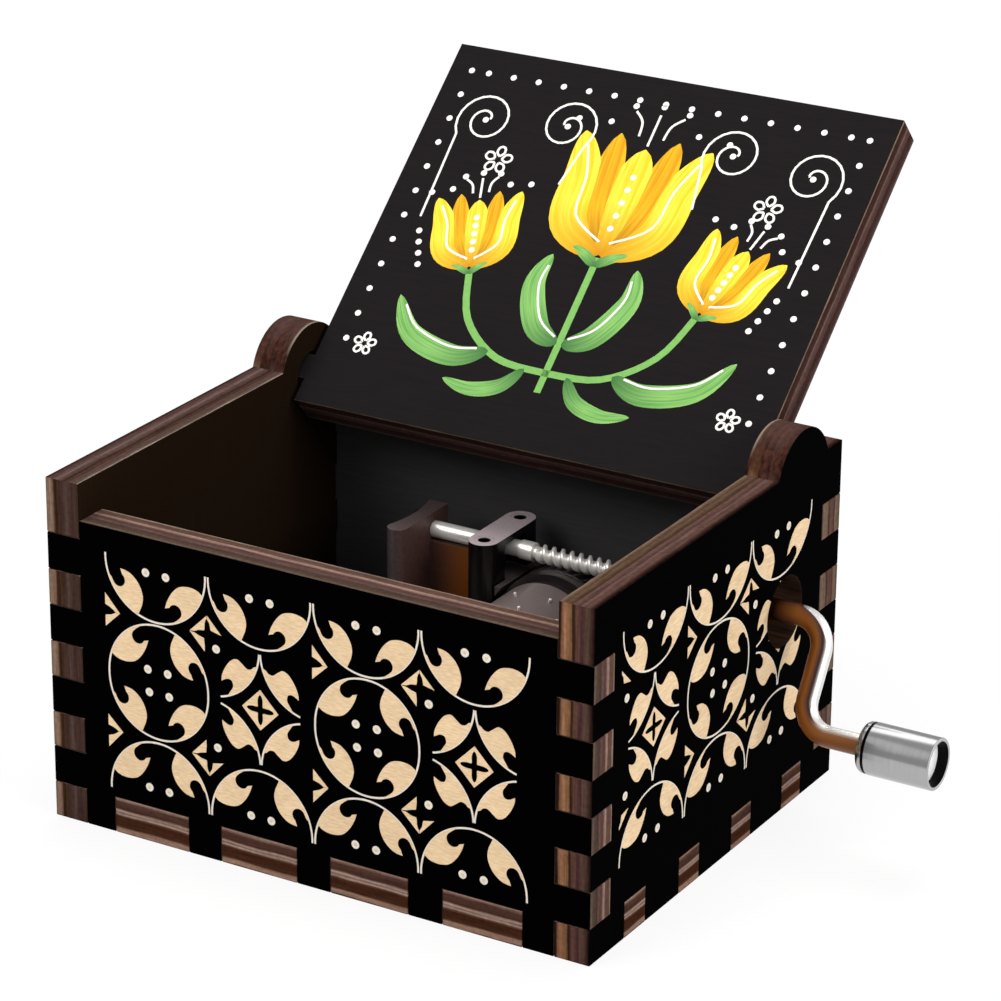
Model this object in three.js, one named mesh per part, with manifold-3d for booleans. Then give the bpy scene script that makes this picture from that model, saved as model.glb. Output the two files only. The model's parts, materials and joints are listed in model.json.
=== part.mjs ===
// A hand-cranked music box. A finger-jointed plywood case with a hinged lid holds a movement in
// which a crank with a rolled worm turns a wheel and a pinned drum beside a steel comb.
// Millimetres, +Z up. The front is at -Y, the crank leaves the case at +X, and the origin is the
// middle of the underside. The lid is modelled open, leaning on the back panel.

import * as THREE from "three";
import { mergeVertices } from "three/addons/utils/BufferGeometryUtils.js";
import Module from "manifold-3d";

const wasm = await Module();
wasm.setup();

// Case, cut from one plywood sheet
const CASE_WIDTH = 64;
const CASE_DEPTH = 52;
const SIDE_HEIGHT = 38;
const LID_RECESS = 4; // from the sides' tops down to the front panel's
const SHEET = 4;
const JOINT_GAP = 0.06; // left by the cut round each finger
const CORNER_FINGER = 4; // height of each finger in the upright corners
const FINGERS_PER_EDGE = 4; // on each edge of the bottom panel
const LONG_ROW_MARGIN = 3.65; // from an inner corner to the first finger in the front or the back
const LONG_FINGER_SHARE = 0.69; // of the fingers' pitch
const SHORT_ROW_MARGIN = 3; // the same in the sides
const SHORT_FINGER_SHARE = 0.373;

// Lid and its pivots in the ears of the side panels
const LID_OPEN_DEGREES = 138;
const LID_SIDE_GAP = 0.62;
const LID_FRONT_GAP = 0.6;
const LID_REST_GAP = 0.2; // between the closed lid and the front panel
const LID_STOP_GAP = 0.1; // between the open lid and the back panel's edge
const PIVOT_TO_BACK = 4.8; // from the pivot to the back panel's inner face
const LID_TAIL_GAP = 0.12; // between the turning lid's rear corner and the back panel
const TAB_WIDTH = 2.9;
const TAB_CLEARANCE = 0.15;
const TAB_END_GAP = 0.3;
const POCKET_FLOOR = 1.2; // wood left under each blind pivot pocket
const EAR_RISE = 4; // of the ears above the sides' tops
const EAR_SEGMENTS = 26;

// Crank shaft, one steel wire
const SHAFT_TO_BACK = 8; // from the shaft's axis to the back panel's inner face
const SHAFT_ABOVE_BASE = 17; // from the frame's base plate up to the shaft's axis
const JOURNAL_RADIUS = 0.8; // in the frame's upright
const SHAFT_RADIUS = 0.92; // under the bridge
const WORM_RADIUS = 1.05;
const WIRE_RADIUS = 1.15; // from the worm to the knob
const SHOULDER_GAP = 0.75; // from the bridge to where the wire gets its full radius
const CLIP_GROOVE_DEPTH = 0.12;
const WORM_GROOVE_DEPTH = 0.35; // of the groove at the worm's left end
const WORM_GROOVE_WIDTH = 0.5;
const CRANK_ARM_GAP = 5.1; // from the case's side to the middle of the arm
const CRANK_THROW = 11.5;
const CRANK_REST_DEGREES = 32; // the arm's lean to the front, from hanging straight down
const BEND_RADIUS = 3.4;
const WIRE_SIDES = 12;
const WIRE_STEPS = 44;
const CRANK_HOLE_GAP = 1.09; // round the knob as it goes in through the side panel

// Worm and wheel
const WORM_PITCH = 1.1;
const WORM_STARTS = 2;
const THREAD_ROOT_GAP = 0.11; // between a crest and the root across from it
const CREST_HALF_SHARE = 0.1; // half the width of a crest, of the pitch
const FOOT_HALF_SHARE = 0.32; // half the width of a thread's foot, of the pitch
const WORM_ROWS_PER_PITCH = 8;
const WORM_ROWS_LEFT = 25; // rows from the wheel's middle to the worm's left end
const WORM_ROWS_RIGHT = 55;
const WHEEL_TEETH = 38;
const TOOTH_ADDENDUM = 0.2;
const WORM_ADDENDUM = 0.19;
const WHEEL_FACE = 3.8; // width of the toothed band
const FLANGE_WIDTH = 1.5; // smooth rim in front of the teeth
const FLANGE_GROOVE = 0.15;
const NECK_WIDTH = 1.3; // dark step between the rim and the drum
const NECK_STEP = 0.85;
const HUB_DEPTH = 1.5; // how far the wheel's hub enters the drum
const SHAFT_TO_FLANGE = 1.6; // from the shaft's axis forward to the smooth rim

// Pinned drum
const DRUM_X = 6.2;
const DRUM_RADIUS = 6.35;
const DRUM_WALL = 0.95;
const DRUM_TO_FRONT = 9.4; // from the drum to the front panel's inner face
const DRUM_SIDES = 44;
const TRACK_PITCH = 1.03;
const TRACK_INSET = 1.5; // from the drum's front end to the first track, at least
const PINS_PER_TRACK = 3;
const PIN_RADIUS = 0.17;
const PIN_HEIGHT = 0.4;
const PIN_ROOT = 0.4;
const PIN_TURN_SHARE = 0.6180339887; // of a turn, from each pin to the next
const PIN_START_SHARE = 0.3;
const CAP_THICKNESS = 1.6;
const PRESS_GAP = 0.05;
const ARBOR_RADIUS = 1.2;
const PIVOT_RADIUS = 0.9;
const BEARING_GAP = 0.1;
const END_PLAY = 0.3;
const PIVOT_OVERHANG = 0.5;

// Comb
const COMB_THICKNESS = 1.6;
const TOOTH_THICKNESS = 0.6;
const TOOTH_SLOT = 0.28;
const COMB_GAP = 0.3; // from the tooth tips to the pins
const LONGEST_TOOTH = 11;
const SHORTEST_TOOTH = 6.5;
const COMB_BODY = 7;
const COMB_MARGIN = 0.25;
const WEIGHT_DEPTH = 1.3;
const WEIGHT_LENGTH = 2.6;
const WEIGHTED_TEETH = 6;
const COMB_TO_UPRIGHT = 0.135;
const COMB_SCREW_SPREAD_SHARE = 0.58; // of the comb's width

// Cast frame
const FRAME_LEFT_MARGIN = 1.45; // base plate left of the comb
const FRAME_RIGHT_MARGIN = 0.7; // base plate right of the tail bearing
const FRAME_TO_FRONT = 3; // from the base plate to the front panel
const FRAME_TO_BACK = 1.4; // from the base plate to the back panel
const FRAME_THICKNESS = 2;
const FRAME_CORNER = 2.5;
const UPRIGHT_TO_BRIDGE = 10.25;
const UPRIGHT_THICKNESS = 1.7;
const UPRIGHT_FORWARD = 6.6; // from the shaft's axis to the front of the upright's nose
const UPRIGHT_BEHIND = 2.9;
const UPRIGHT_HOLLOW = 0.6; // how deep the upright's outer side is scooped
const WEB_THICKNESS = 1.8;
const SHAFT_GAP = 0.16; // from the shaft to the web below it and the bridge above it
const PEDESTAL_DROP = 2.8; // from the shaft's axis down to the pedestal's top
const PEDESTAL_LIP = 1.15; // how far the pedestal stands out past the bridge's legs
const WHEEL_CLEARANCE = 0.35;
const TAIL_BEARING_GAP = 2; // from the worm's end to the tail bearing
const CHEEK_THICKNESS = 1.6;
const TAIL_BEARING_WIDTH = 4.4;
const CHEEK_WIDTH = 7.4;
const BOSS_RADIUS = 2.6;
const BOSS_HEIGHT = 3;

// Bridge over the shaft
const BRIDGE_TO_ROOM = 0.815; // from the bridge's middle to the room that the wheel turns in
const BRIDGE_HOLE_SPACING = 7.5;
const BRIDGE_RADIUS = 1.7;
const BRIDGE_ARCH = 4.6; // opening that the shaft goes through
const BRIDGE_PLATE = 0.8;
const BRIDGE_SEGMENTS = 14;

// Front bearing plate
const BEARING_PLATE_THICKNESS = 1.1;
const BEARING_HEAD = 1.9; // radius of the head of the screw in its foot
const BEARING_PLATE_TOP = 3.2; // above the drum's axis

// Screws, shaft clip and knob
const SCREW_SIDES = 16;
const SCREW_GAP = 0.1;
const SMALL_SHANK = 0.5;
const SMALL_HEAD = 0.95;
const SMALL_HEAD_HEIGHT = 0.6;
const SMALL_HEAD_SUNK = 0.25;
const MACHINE_SHANK = 1;
const MACHINE_HEAD = 1.85;
const MACHINE_HEAD_HEIGHT = 1.2;
const MACHINE_LENGTH = 4.2;
const FRAME_SCREW_SHANK = 1.15;
const FRAME_SCREW_HEAD = 2.3;
const FRAME_SCREW_CONE = 1.3;
const FRAME_SCREW_LENGTH = 7.4;
const FRAME_SCREW_SUNK = 0.15;
const SLOT_WIDTH_SHARE = 0.24; // of a screw's head radius
const SLOT_DEPTH_SHARE = 0.45; // of a screw's head height
const CLIP_THICKNESS = 0.4;
const CLIP_RADIUS = 1.75;
const CLIP_GAP = 0.05;
const SHAFT_TAIL = 0.4; // shaft left past the clip
const KNOB_REACH = 7.5; // from the middle of the crank's arm to the knob
const KNOB_LENGTH = 8.2;
const KNOB_RADIUS = 2.76;
const KNOB_LIP = 0.85;
const KNOB_GROOVE = 0.16;
const KNOB_ROUND = 0.3;
const KNOB_WALL = 0.5;
const KNOB_FLOOR = 2.3;
const KNOB_CLEARANCE = 0.1;
const KNOB_SIDES = 32;
const WASHER_THICKNESS = 0.35;
const WASHER_GAP = 0.46; // round the washer, inside the knob
const RIVET_LIP = 0.4;
const RIVET_HEIGHT = 0.6;

const OVERRUN = 0.5; // how far a cutter passes the faces that it cuts
const WELD_TOLERANCE = 1e-4;

// Places worked out from the sizes above
const INNER_X = CASE_WIDTH / 2 - SHEET;
const INNER_Y = CASE_DEPTH / 2 - SHEET;
const FRONT_HEIGHT = SIDE_HEIGHT - LID_RECESS;
const PIVOT_Y = INNER_Y - PIVOT_TO_BACK;
const PIVOT_Z = FRONT_HEIGHT + LID_REST_GAP + SHEET / 2;
const EAR_RADIUS = SIDE_HEIGHT + EAR_RISE - PIVOT_Z;
const POCKET_RADIUS = Math.hypot(TAB_WIDTH / 2, SHEET / 2) + TAB_CLEARANCE;
const POCKET_DEPTH = SHEET - POCKET_FLOOR;
const FRAME_TOP = SHEET + FRAME_THICKNESS;
const SHAFT_Y = INNER_Y - SHAFT_TO_BACK;
const SHAFT_Z = FRAME_TOP + SHAFT_ABOVE_BASE;
const THREAD_DEPTH = TOOTH_ADDENDUM + WORM_ADDENDUM + THREAD_ROOT_GAP;
const CLIP_GROOVE_RADIUS = JOURNAL_RADIUS - CLIP_GROOVE_DEPTH;
const WHEEL_PITCH_RADIUS = (WHEEL_TEETH * WORM_PITCH) / (2 * Math.PI);
const WHEEL_RADIUS = WHEEL_PITCH_RADIUS + TOOTH_ADDENDUM;
const WORM_PITCH_RADIUS = WORM_RADIUS - WORM_ADDENDUM;
const WORM_ROW = WORM_PITCH / WORM_ROWS_PER_PITCH;
const WORM_START_X = DRUM_X - WORM_ROWS_LEFT * WORM_ROW;
const WORM_END_X = DRUM_X + WORM_ROWS_RIGHT * WORM_ROW;
const DRUM_Z = SHAFT_Z - WHEEL_PITCH_RADIUS - WORM_PITCH_RADIUS;
const FLANGE_BACK = SHAFT_Y - SHAFT_TO_FLANGE;
const FLANGE_FRONT = FLANGE_BACK - FLANGE_WIDTH;
const WHEEL_BACK = FLANGE_BACK + WHEEL_FACE;
const DRUM_BACK = FLANGE_FRONT - NECK_WIDTH;
const DRUM_FRONT = -INNER_Y + DRUM_TO_FRONT;
const COMB_BACK_Y = SHAFT_Y - UPRIGHT_FORWARD - COMB_TO_UPRIGHT;
const LAST_TRACK_Y = COMB_BACK_Y - COMB_MARGIN - TRACK_PITCH / 2;
const TRACKS = 1 + Math.floor((LAST_TRACK_Y - DRUM_FRONT - TRACK_INSET) / TRACK_PITCH);
const FIRST_TRACK_Y = LAST_TRACK_Y - (TRACKS - 1) * TRACK_PITCH;
const COMB_MIDDLE_Y = (FIRST_TRACK_Y + LAST_TRACK_Y) / 2;
const COMB_WIDTH = TRACKS * TRACK_PITCH + 2 * COMB_MARGIN;
const COMB_TIP_X = DRUM_X - DRUM_RADIUS - PIN_HEIGHT - COMB_GAP;
const COMB_BACK_X = COMB_TIP_X - LONGEST_TOOTH - COMB_BODY;
const COMB_TOP = DRUM_Z + TOOTH_THICKNESS / 2;
const COMB_SCREW_X = COMB_BACK_X + COMB_BODY / 2;
const BEARING_PLATE_Y = DRUM_FRONT - END_PLAY - BEARING_PLATE_THICKNESS;
const BEARING_FOOT = 2 * (BEARING_HEAD + SCREW_GAP);
const REAR_CHEEK_Y = WHEEL_BACK + END_PLAY;
const ROOM_RADIUS = Math.max(WHEEL_RADIUS, DRUM_RADIUS + PIN_HEIGHT) + WHEEL_CLEARANCE;
const BRIDGE_X = DRUM_X - ROOM_RADIUS - BRIDGE_TO_ROOM;
const SHOULDER_X = BRIDGE_X + BRIDGE_RADIUS + SHOULDER_GAP;
const UPRIGHT_X = BRIDGE_X - UPRIGHT_TO_BRIDGE;
const UPRIGHT_RIGHT = UPRIGHT_X + UPRIGHT_THICKNESS;
const TAIL_BEARING_X = WORM_END_X + TAIL_BEARING_GAP;
const FRAME_LEFT = COMB_BACK_X - FRAME_LEFT_MARGIN;
const FRAME_RIGHT = TAIL_BEARING_X + CHEEK_THICKNESS + FRAME_RIGHT_MARGIN;
const FRAME_FRONT = -INNER_Y + FRAME_TO_FRONT;
const FRAME_BACK = INNER_Y - FRAME_TO_BACK;
const WEB_TOP = SHAFT_Z - SHAFT_RADIUS - SHAFT_GAP;
const BRIDGE_TOP = SHAFT_Z + SHAFT_RADIUS + SHAFT_GAP + BRIDGE_PLATE;
const CRANK_HOLE_RADIUS = KNOB_RADIUS + CRANK_HOLE_GAP;
const CRANK_ARM_X = CASE_WIDTH / 2 + CRANK_ARM_GAP;
const KNOB_START_X = CRANK_ARM_X + KNOB_REACH;
const WASHER_RADIUS = KNOB_RADIUS - KNOB_WALL - WASHER_GAP;
const RIVET_RADIUS = WIRE_RADIUS + RIVET_LIP;
const CRANK_TURN = THREE.MathUtils.degToRad(CRANK_REST_DEGREES);
const KNOB_Y = SHAFT_Y - CRANK_THROW * Math.sin(CRANK_TURN);
const KNOB_Z = SHAFT_Z - CRANK_THROW * Math.cos(CRANK_TURN);
const FRAME_SCREWS = [
  [FRAME_LEFT + FRAME_CORNER + BOSS_RADIUS / 2, FRAME_FRONT + FRAME_CORNER + BOSS_RADIUS / 2],
  [FRAME_LEFT + FRAME_CORNER + BOSS_RADIUS / 2, FRAME_BACK - FRAME_CORNER - BOSS_RADIUS / 2],
  [FRAME_RIGHT - FRAME_CORNER - BOSS_RADIUS / 2, FRAME_FRONT + FRAME_CORNER + BOSS_RADIUS / 2],
];

// Materials
const plywood = (name) => material(name, 0x15100e, 0.75, 0);
const steel = (name) => material(name, 0xc9c7c2, 0.3, 0.9);
const darkMetal = (name) => material(name, 0x3a3330, 0.45, 0.7);

function material(name, color, roughness, metalness) {
  return new THREE.MeshStandardMaterial({ name, color, roughness, metalness });
}

// Solids from three.js geometries, and back
function toSolid(geometry) {
  const bare = new THREE.BufferGeometry();
  bare.setAttribute("position", geometry.getAttribute("position"));
  bare.setIndex(geometry.index);
  const merged = mergeVertices(bare, WELD_TOLERANCE);
  return new wasm.Manifold(
    new wasm.Mesh({
      numProp: 3,
      vertProperties: new Float32Array(merged.attributes.position.array),
      triVerts: new Uint32Array(merged.index.array),
    }),
  );
}

function toGeometry(solid) {
  const mesh = solid.getMesh();
  const geometry = new THREE.BufferGeometry();
  geometry.setAttribute("position", new THREE.BufferAttribute(mesh.vertProperties, mesh.numProp));
  geometry.setIndex(new THREE.BufferAttribute(mesh.triVerts, 1));
  geometry.computeVertexNormals();
  return geometry;
}

function join(...geometries) {
  const solids = geometries.map(toSolid);
  return toGeometry(solids.reduce((whole, next) => whole.add(next)));
}

function cut(geometry, ...tools) {
  const solids = tools.map(toSolid);
  return toGeometry(solids.reduce((whole, tool) => whole.subtract(tool), toSolid(geometry)));
}

// Basic shapes, placed in the part's frame
const ALONG = { x: new THREE.Vector3(1, 0, 0), y: new THREE.Vector3(0, 1, 0), z: new THREE.Vector3(0, 0, 1) };

function box(x, y, z) {
  const size = [x, y, z].map(([low, high]) => high - low);
  const middle = [x, y, z].map(([low, high]) => (low + high) / 2);
  return new THREE.BoxGeometry(...size).translate(...middle);
}

// A Y-up geometry turned so that its axis runs along X, Y or Z.
function turnedTo(axis, geometry) {
  const turn = new THREE.Quaternion().setFromUnitVectors(ALONG.y, ALONG[axis]);
  return geometry.applyQuaternion(turn);
}

// A round bar along an axis from one coordinate to another; `at` holds its other two places.
function bar(axis, radius, from, to, at, sides = SCREW_SIDES) {
  const geometry = new THREE.CylinderGeometry(radius, radius, to - from, sides);
  const place = { x: 0, y: 0, z: 0, ...at, [axis]: (from + to) / 2 };
  return turnedTo(axis, geometry).translate(place.x, place.y, place.z);
}

// A solid of revolution; the profile lists [radius, distance along the axis] from low to high.
function turned(axis, profile, at, sides) {
  const points = profile.map(([radius, along]) => new THREE.Vector2(radius, along));
  const place = { x: 0, y: 0, z: 0, ...at };
  return turnedTo(axis, new THREE.LatheGeometry(points, sides)).translate(place.x, place.y, place.z);
}

// An outline in XY raised along Z, in XZ pushed towards -Y, or in YZ pushed towards +X.
function raised(outline, low, high) {
  return new THREE.ExtrudeGeometry(outline, { depth: high - low, bevelEnabled: false }).translate(0, 0, low);
}

function frontal(outline, front, back) {
  const geometry = new THREE.ExtrudeGeometry(outline, { depth: back - front, bevelEnabled: false });
  return geometry.rotateX(Math.PI / 2).translate(0, back, 0);
}

function lateral(outline, low, high) {
  const geometry = new THREE.ExtrudeGeometry(outline, { depth: high - low, bevelEnabled: false });
  const turn = new THREE.Matrix4().makeBasis(ALONG.y, ALONG.z, ALONG.x);
  return geometry.applyMatrix4(turn).translate(low, 0, 0);
}

function arcPoints(centreX, centreY, radius, fromAngle, toAngle, segments) {
  const points = [];
  for (let i = 0; i <= segments; i += 1) {
    const angle = THREE.MathUtils.lerp(fromAngle, toAngle, i / segments);
    points.push(new THREE.Vector2(centreX + radius * Math.cos(angle), centreY + radius * Math.sin(angle)));
  }
  return points;
}

// A bar with round ends, centred, along the second axis of its plane.
function stadium(centreX, centreY, spacing, radius, segments) {
  const top = arcPoints(centreX, centreY + spacing / 2, radius, 0, Math.PI, segments);
  const bottom = arcPoints(centreX, centreY - spacing / 2, radius, Math.PI, 2 * Math.PI, segments);
  return new THREE.Shape([...top, ...bottom]);
}

// A plate standing on a straight foot, with a round top about a bearing's centre.
function archOutline(centre, bearingHeight, foot, width, top) {
  const half = width / 2;
  const points = arcPoints(centre, bearingHeight, top, 0, Math.PI, EAR_SEGMENTS / 2);
  const shoulder = Math.min(half, top);
  points[0].x = centre + shoulder;
  points[points.length - 1].x = centre - shoulder;
  points.push(new THREE.Vector2(centre - half, foot));
  points.push(new THREE.Vector2(centre + half, foot));
  return new THREE.Shape(points);
}

// Finger joints. A row is a list of [start, end] distances along an edge.
function fingerRow(length, margin, fingerShare) {
  const pitch = (length - 2 * margin) / (FINGERS_PER_EDGE - 1 + fingerShare);
  const row = [];
  for (let i = 0; i < FINGERS_PER_EDGE; i += 1) {
    const start = margin + i * pitch;
    row.push([start, start + fingerShare * pitch]);
  }
  return row;
}

// The last finger of a corner leaves at least a quarter of a finger above it.
function cornerRow() {
  const row = [];
  for (let slot = 1; (slot + 1) * CORNER_FINGER + CORNER_FINGER / 4 < FRONT_HEIGHT; slot += 2) {
    row.push([slot * CORNER_FINGER, (slot + 1) * CORNER_FINGER]);
  }
  return row;
}

// The bottom panel's fingers, as distances from one inner corner of the case to the next.
const longRow = () => fingerRow(2 * INNER_X, LONG_ROW_MARGIN, LONG_FINGER_SHARE);
const shortRow = () => fingerRow(2 * INNER_Y, SHORT_ROW_MARGIN, SHORT_FINGER_SHARE);
const shifted = (row, by) => row.map(([from, to]) => [from + by, to + by]);

const widened = (row, gap) => row.map(([from, to]) => [from - gap, to + gap]);
const reversed = (row, length) => row.map(([from, to]) => [length - to, length - from]).reverse();

// Corners along one edge of an outline that runs anticlockwise. Fingers reach out of it, and
// notches, with a negative reach, go in.
function edgePoints(start, end, row, reach) {
  const along = end.clone().sub(start).normalize();
  const outward = new THREE.Vector2(along.y, -along.x);
  const points = [start];
  for (const [from, to] of row) {
    for (const [distance, rise] of [[from, 0], [from, reach], [to, reach], [to, 0]]) {
      points.push(start.clone().addScaledVector(along, distance).addScaledVector(outward, rise));
    }
  }
  return points;
}

// Front or back panel, drawn in XZ: fingers at both ends, notches for the bottom panel below.
function endPanelOutline(height) {
  const half = INNER_X - JOINT_GAP;
  const corners = [[-half, 0], [half, 0], [half, height], [-half, height]].map((p) => new THREE.Vector2(...p));
  const notches = widened(shifted(longRow(), -JOINT_GAP), JOINT_GAP);
  const fingers = cornerRow();
  const reach = CASE_WIDTH / 2 - half;
  return new THREE.Shape([
    ...edgePoints(corners[0], corners[1], notches, -(SHEET + JOINT_GAP)),
    ...edgePoints(corners[1], corners[2], fingers, reach),
    corners[2],
    ...edgePoints(corners[3], corners[0], reversed(fingers, height), reach),
  ]);
}

// Side panel, drawn in YZ: notches for the other panels, and the ear that holds the lid's pivot.
function sidePanelOutline() {
  const half = CASE_DEPTH / 2;
  const corners = [[-half, 0], [half, 0], [half, SIDE_HEIGHT], [-half, SIDE_HEIGHT]];
  const [frontLow, backLow, backHigh, frontHigh] = corners.map((p) => new THREE.Vector2(...p));
  const below = widened(shifted(shortRow(), SHEET), JOINT_GAP);
  const notches = widened(cornerRow(), JOINT_GAP);
  const depth = -(SHEET + JOINT_GAP);
  const earAngle = Math.asin((SIDE_HEIGHT - PIVOT_Z) / EAR_RADIUS);
  return new THREE.Shape([
    ...edgePoints(frontLow, backLow, below, depth),
    ...edgePoints(backLow, backHigh, notches, depth),
    backHigh,
    ...arcPoints(PIVOT_Y, PIVOT_Z, EAR_RADIUS, earAngle, Math.PI - earAngle, EAR_SEGMENTS),
    ...edgePoints(frontHigh, frontLow, reversed(notches, SIDE_HEIGHT), depth),
  ]);
}

// Bottom panel, drawn in XY: fingers on all four edges.
function bottomOutline() {
  const halfX = INNER_X - JOINT_GAP;
  const halfY = INNER_Y - JOINT_GAP;
  const corners = [[-halfX, -halfY], [halfX, -halfY], [halfX, halfY], [-halfX, halfY]];
  const [a, b, c, d] = corners.map((p) => new THREE.Vector2(...p));
  const long = shifted(longRow(), -JOINT_GAP);
  const short = shifted(shortRow(), -JOINT_GAP);
  return new THREE.Shape([
    ...edgePoints(a, b, long, CASE_DEPTH / 2 - halfY),
    ...edgePoints(b, c, short, CASE_WIDTH / 2 - halfX),
    ...edgePoints(c, d, long, CASE_DEPTH / 2 - halfY),
    ...edgePoints(d, a, short, CASE_WIDTH / 2 - halfX),
  ]);
}

// The back panel's top edge is where the open lid's outer face leans.
function backHeight() {
  const angle = THREE.MathUtils.degToRad(LID_OPEN_DEGREES);
  const reach = PIVOT_TO_BACK * Math.sin(angle) - SHEET / 2 - LID_STOP_GAP;
  return PIVOT_Z - reach / Math.cos(angle);
}

function sidePanel(side) {
  const low = side < 0 ? -CASE_WIDTH / 2 : INNER_X;
  const panel = lateral(sidePanelOutline(), low, low + SHEET);
  const pocketEnd = side * (INNER_X + POCKET_DEPTH);
  const mouth = side * (INNER_X - OVERRUN);
  const span = [Math.min(pocketEnd, mouth), Math.max(pocketEnd, mouth)];
  const pocket = bar("x", POCKET_RADIUS, ...span, { y: PIVOT_Y, z: PIVOT_Z }, EAR_SEGMENTS);
  if (side < 0) {
    return cut(panel, pocket);
  }
  const hole = { y: SHAFT_Y, z: SHAFT_Z };
  const bore = bar("x", CRANK_HOLE_RADIUS, INNER_X - OVERRUN, CASE_WIDTH / 2 + OVERRUN, hole, KNOB_SIDES);
  return cut(panel, pocket, bore);
}

// A countersunk screw's outline of revolution, head down, from its head's face at `low`.
function countersunk(low, head, shank, cone, length) {
  return [[0, low], [head, low], [shank, low + cone], [shank, low + length], [0, low + length]];
}

function bottomPanel() {
  const panel = raised(bottomOutline(), 0, SHEET);
  const holes = FRAME_SCREWS.map(([x, y]) => {
    const head = FRAME_SCREW_HEAD + SCREW_GAP + OVERRUN;
    const shank = FRAME_SCREW_SHANK + SCREW_GAP;
    const slope = (FRAME_SCREW_HEAD - FRAME_SCREW_SHANK) / FRAME_SCREW_CONE;
    const low = FRAME_SCREW_SUNK - OVERRUN / slope;
    const cone = (head - shank) / slope;
    return turned("z", countersunk(low, head, shank, cone, SHEET + 2 * OVERRUN), { x, y }, SCREW_SIDES);
  });
  return cut(panel, ...holes);
}

// Lid, drawn closed about its pivot: +Y to the rear, with a tab at each rear corner.
function lid() {
  const tail = Math.sqrt((PIVOT_TO_BACK - LID_TAIL_GAP) ** 2 - (SHEET / 2) ** 2);
  const front = -(CASE_DEPTH / 2 - LID_FRONT_GAP + PIVOT_Y);
  const half = INNER_X - LID_SIDE_GAP;
  const tab = INNER_X + POCKET_DEPTH - TAB_END_GAP;
  const low = -TAB_WIDTH / 2;
  const high = TAB_WIDTH / 2;
  const right = [[half, front], [half, low], [tab, low], [tab, high], [half, high], [half, tail]];
  const left = right.map(([x, y]) => [-x, y]).reverse();
  const outline = new THREE.Shape([...right, ...left].map((p) => new THREE.Vector2(...p)));
  return raised(outline, -SHEET / 2, SHEET / 2);
}

// Height of a thread, from 0 at its root to 1 on its crest, at a share of one pitch.
function threadHeight(phase) {
  const fromCrest = Math.abs(phase - Math.floor(phase) - 0.5);
  const rise = (FOOT_HALF_SHARE - fromCrest) / (FOOT_HALF_SHARE - CREST_HALF_SHARE);
  return THREE.MathUtils.clamp(rise, 0, 1);
}

// Two-start worm: a round bar along X whose surface follows the thread. A space faces the wheel
// at the wheel's own X.
function worm() {
  const rows = WORM_ROWS_LEFT + WORM_ROWS_RIGHT;
  const length = WORM_END_X - WORM_START_X;
  const geometry = new THREE.CylinderGeometry(WORM_RADIUS, WORM_RADIUS, length, WIRE_SIDES, rows);
  turnedTo("x", geometry).translate((WORM_START_X + WORM_END_X) / 2, 0, 0);
  const place = geometry.getAttribute("position");
  for (let i = 0; i < place.count; i += 1) {
    const y = place.getY(i);
    const z = place.getZ(i);
    const radius = Math.hypot(y, z);
    if (radius > WORM_RADIUS / 2) {
      const turn = Math.atan2(y, -z) / (2 * Math.PI);
      const phase = WORM_STARTS * turn - (place.getX(i) - DRUM_X) / WORM_PITCH;
      const scale = 1 - ((1 - threadHeight(phase)) * THREAD_DEPTH) / WORM_RADIUS;
      place.setY(i, y * scale);
      place.setZ(i, z * scale);
    }
  }
  return geometry.translate(0, SHAFT_Y, SHAFT_Z);
}

// The wire's way from the worm out of the case, down the crank arm and into the knob.
function crankPath(start, end) {
  const down = new THREE.Vector3(0, -Math.sin(CRANK_TURN), -Math.cos(CRANK_TURN));
  const upper = new THREE.Vector3(CRANK_ARM_X, SHAFT_Y, SHAFT_Z);
  const lower = upper.clone().addScaledVector(down, CRANK_THROW);
  const path = new THREE.CurvePath();
  const bend = (corner, into, out) => {
    const from = corner.clone().addScaledVector(into, -BEND_RADIUS);
    const to = corner.clone().addScaledVector(out, BEND_RADIUS);
    const quarterCircleShare = 0.5523;
    const first = from.clone().addScaledVector(into, BEND_RADIUS * quarterCircleShare);
    const second = to.clone().addScaledVector(out, -BEND_RADIUS * quarterCircleShare);
    return new THREE.CubicBezierCurve3(from, first, second, to);
  };
  const firstBend = bend(upper, ALONG.x, down);
  const secondBend = bend(lower, down, ALONG.x);
  path.add(new THREE.LineCurve3(new THREE.Vector3(start, SHAFT_Y, SHAFT_Z), firstBend.v0));
  path.add(firstBend);
  path.add(new THREE.LineCurve3(firstBend.v3, secondBend.v0));
  path.add(secondBend);
  path.add(new THREE.LineCurve3(secondBend.v3, new THREE.Vector3(end, KNOB_Y, KNOB_Z)));
  return path;
}

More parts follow.
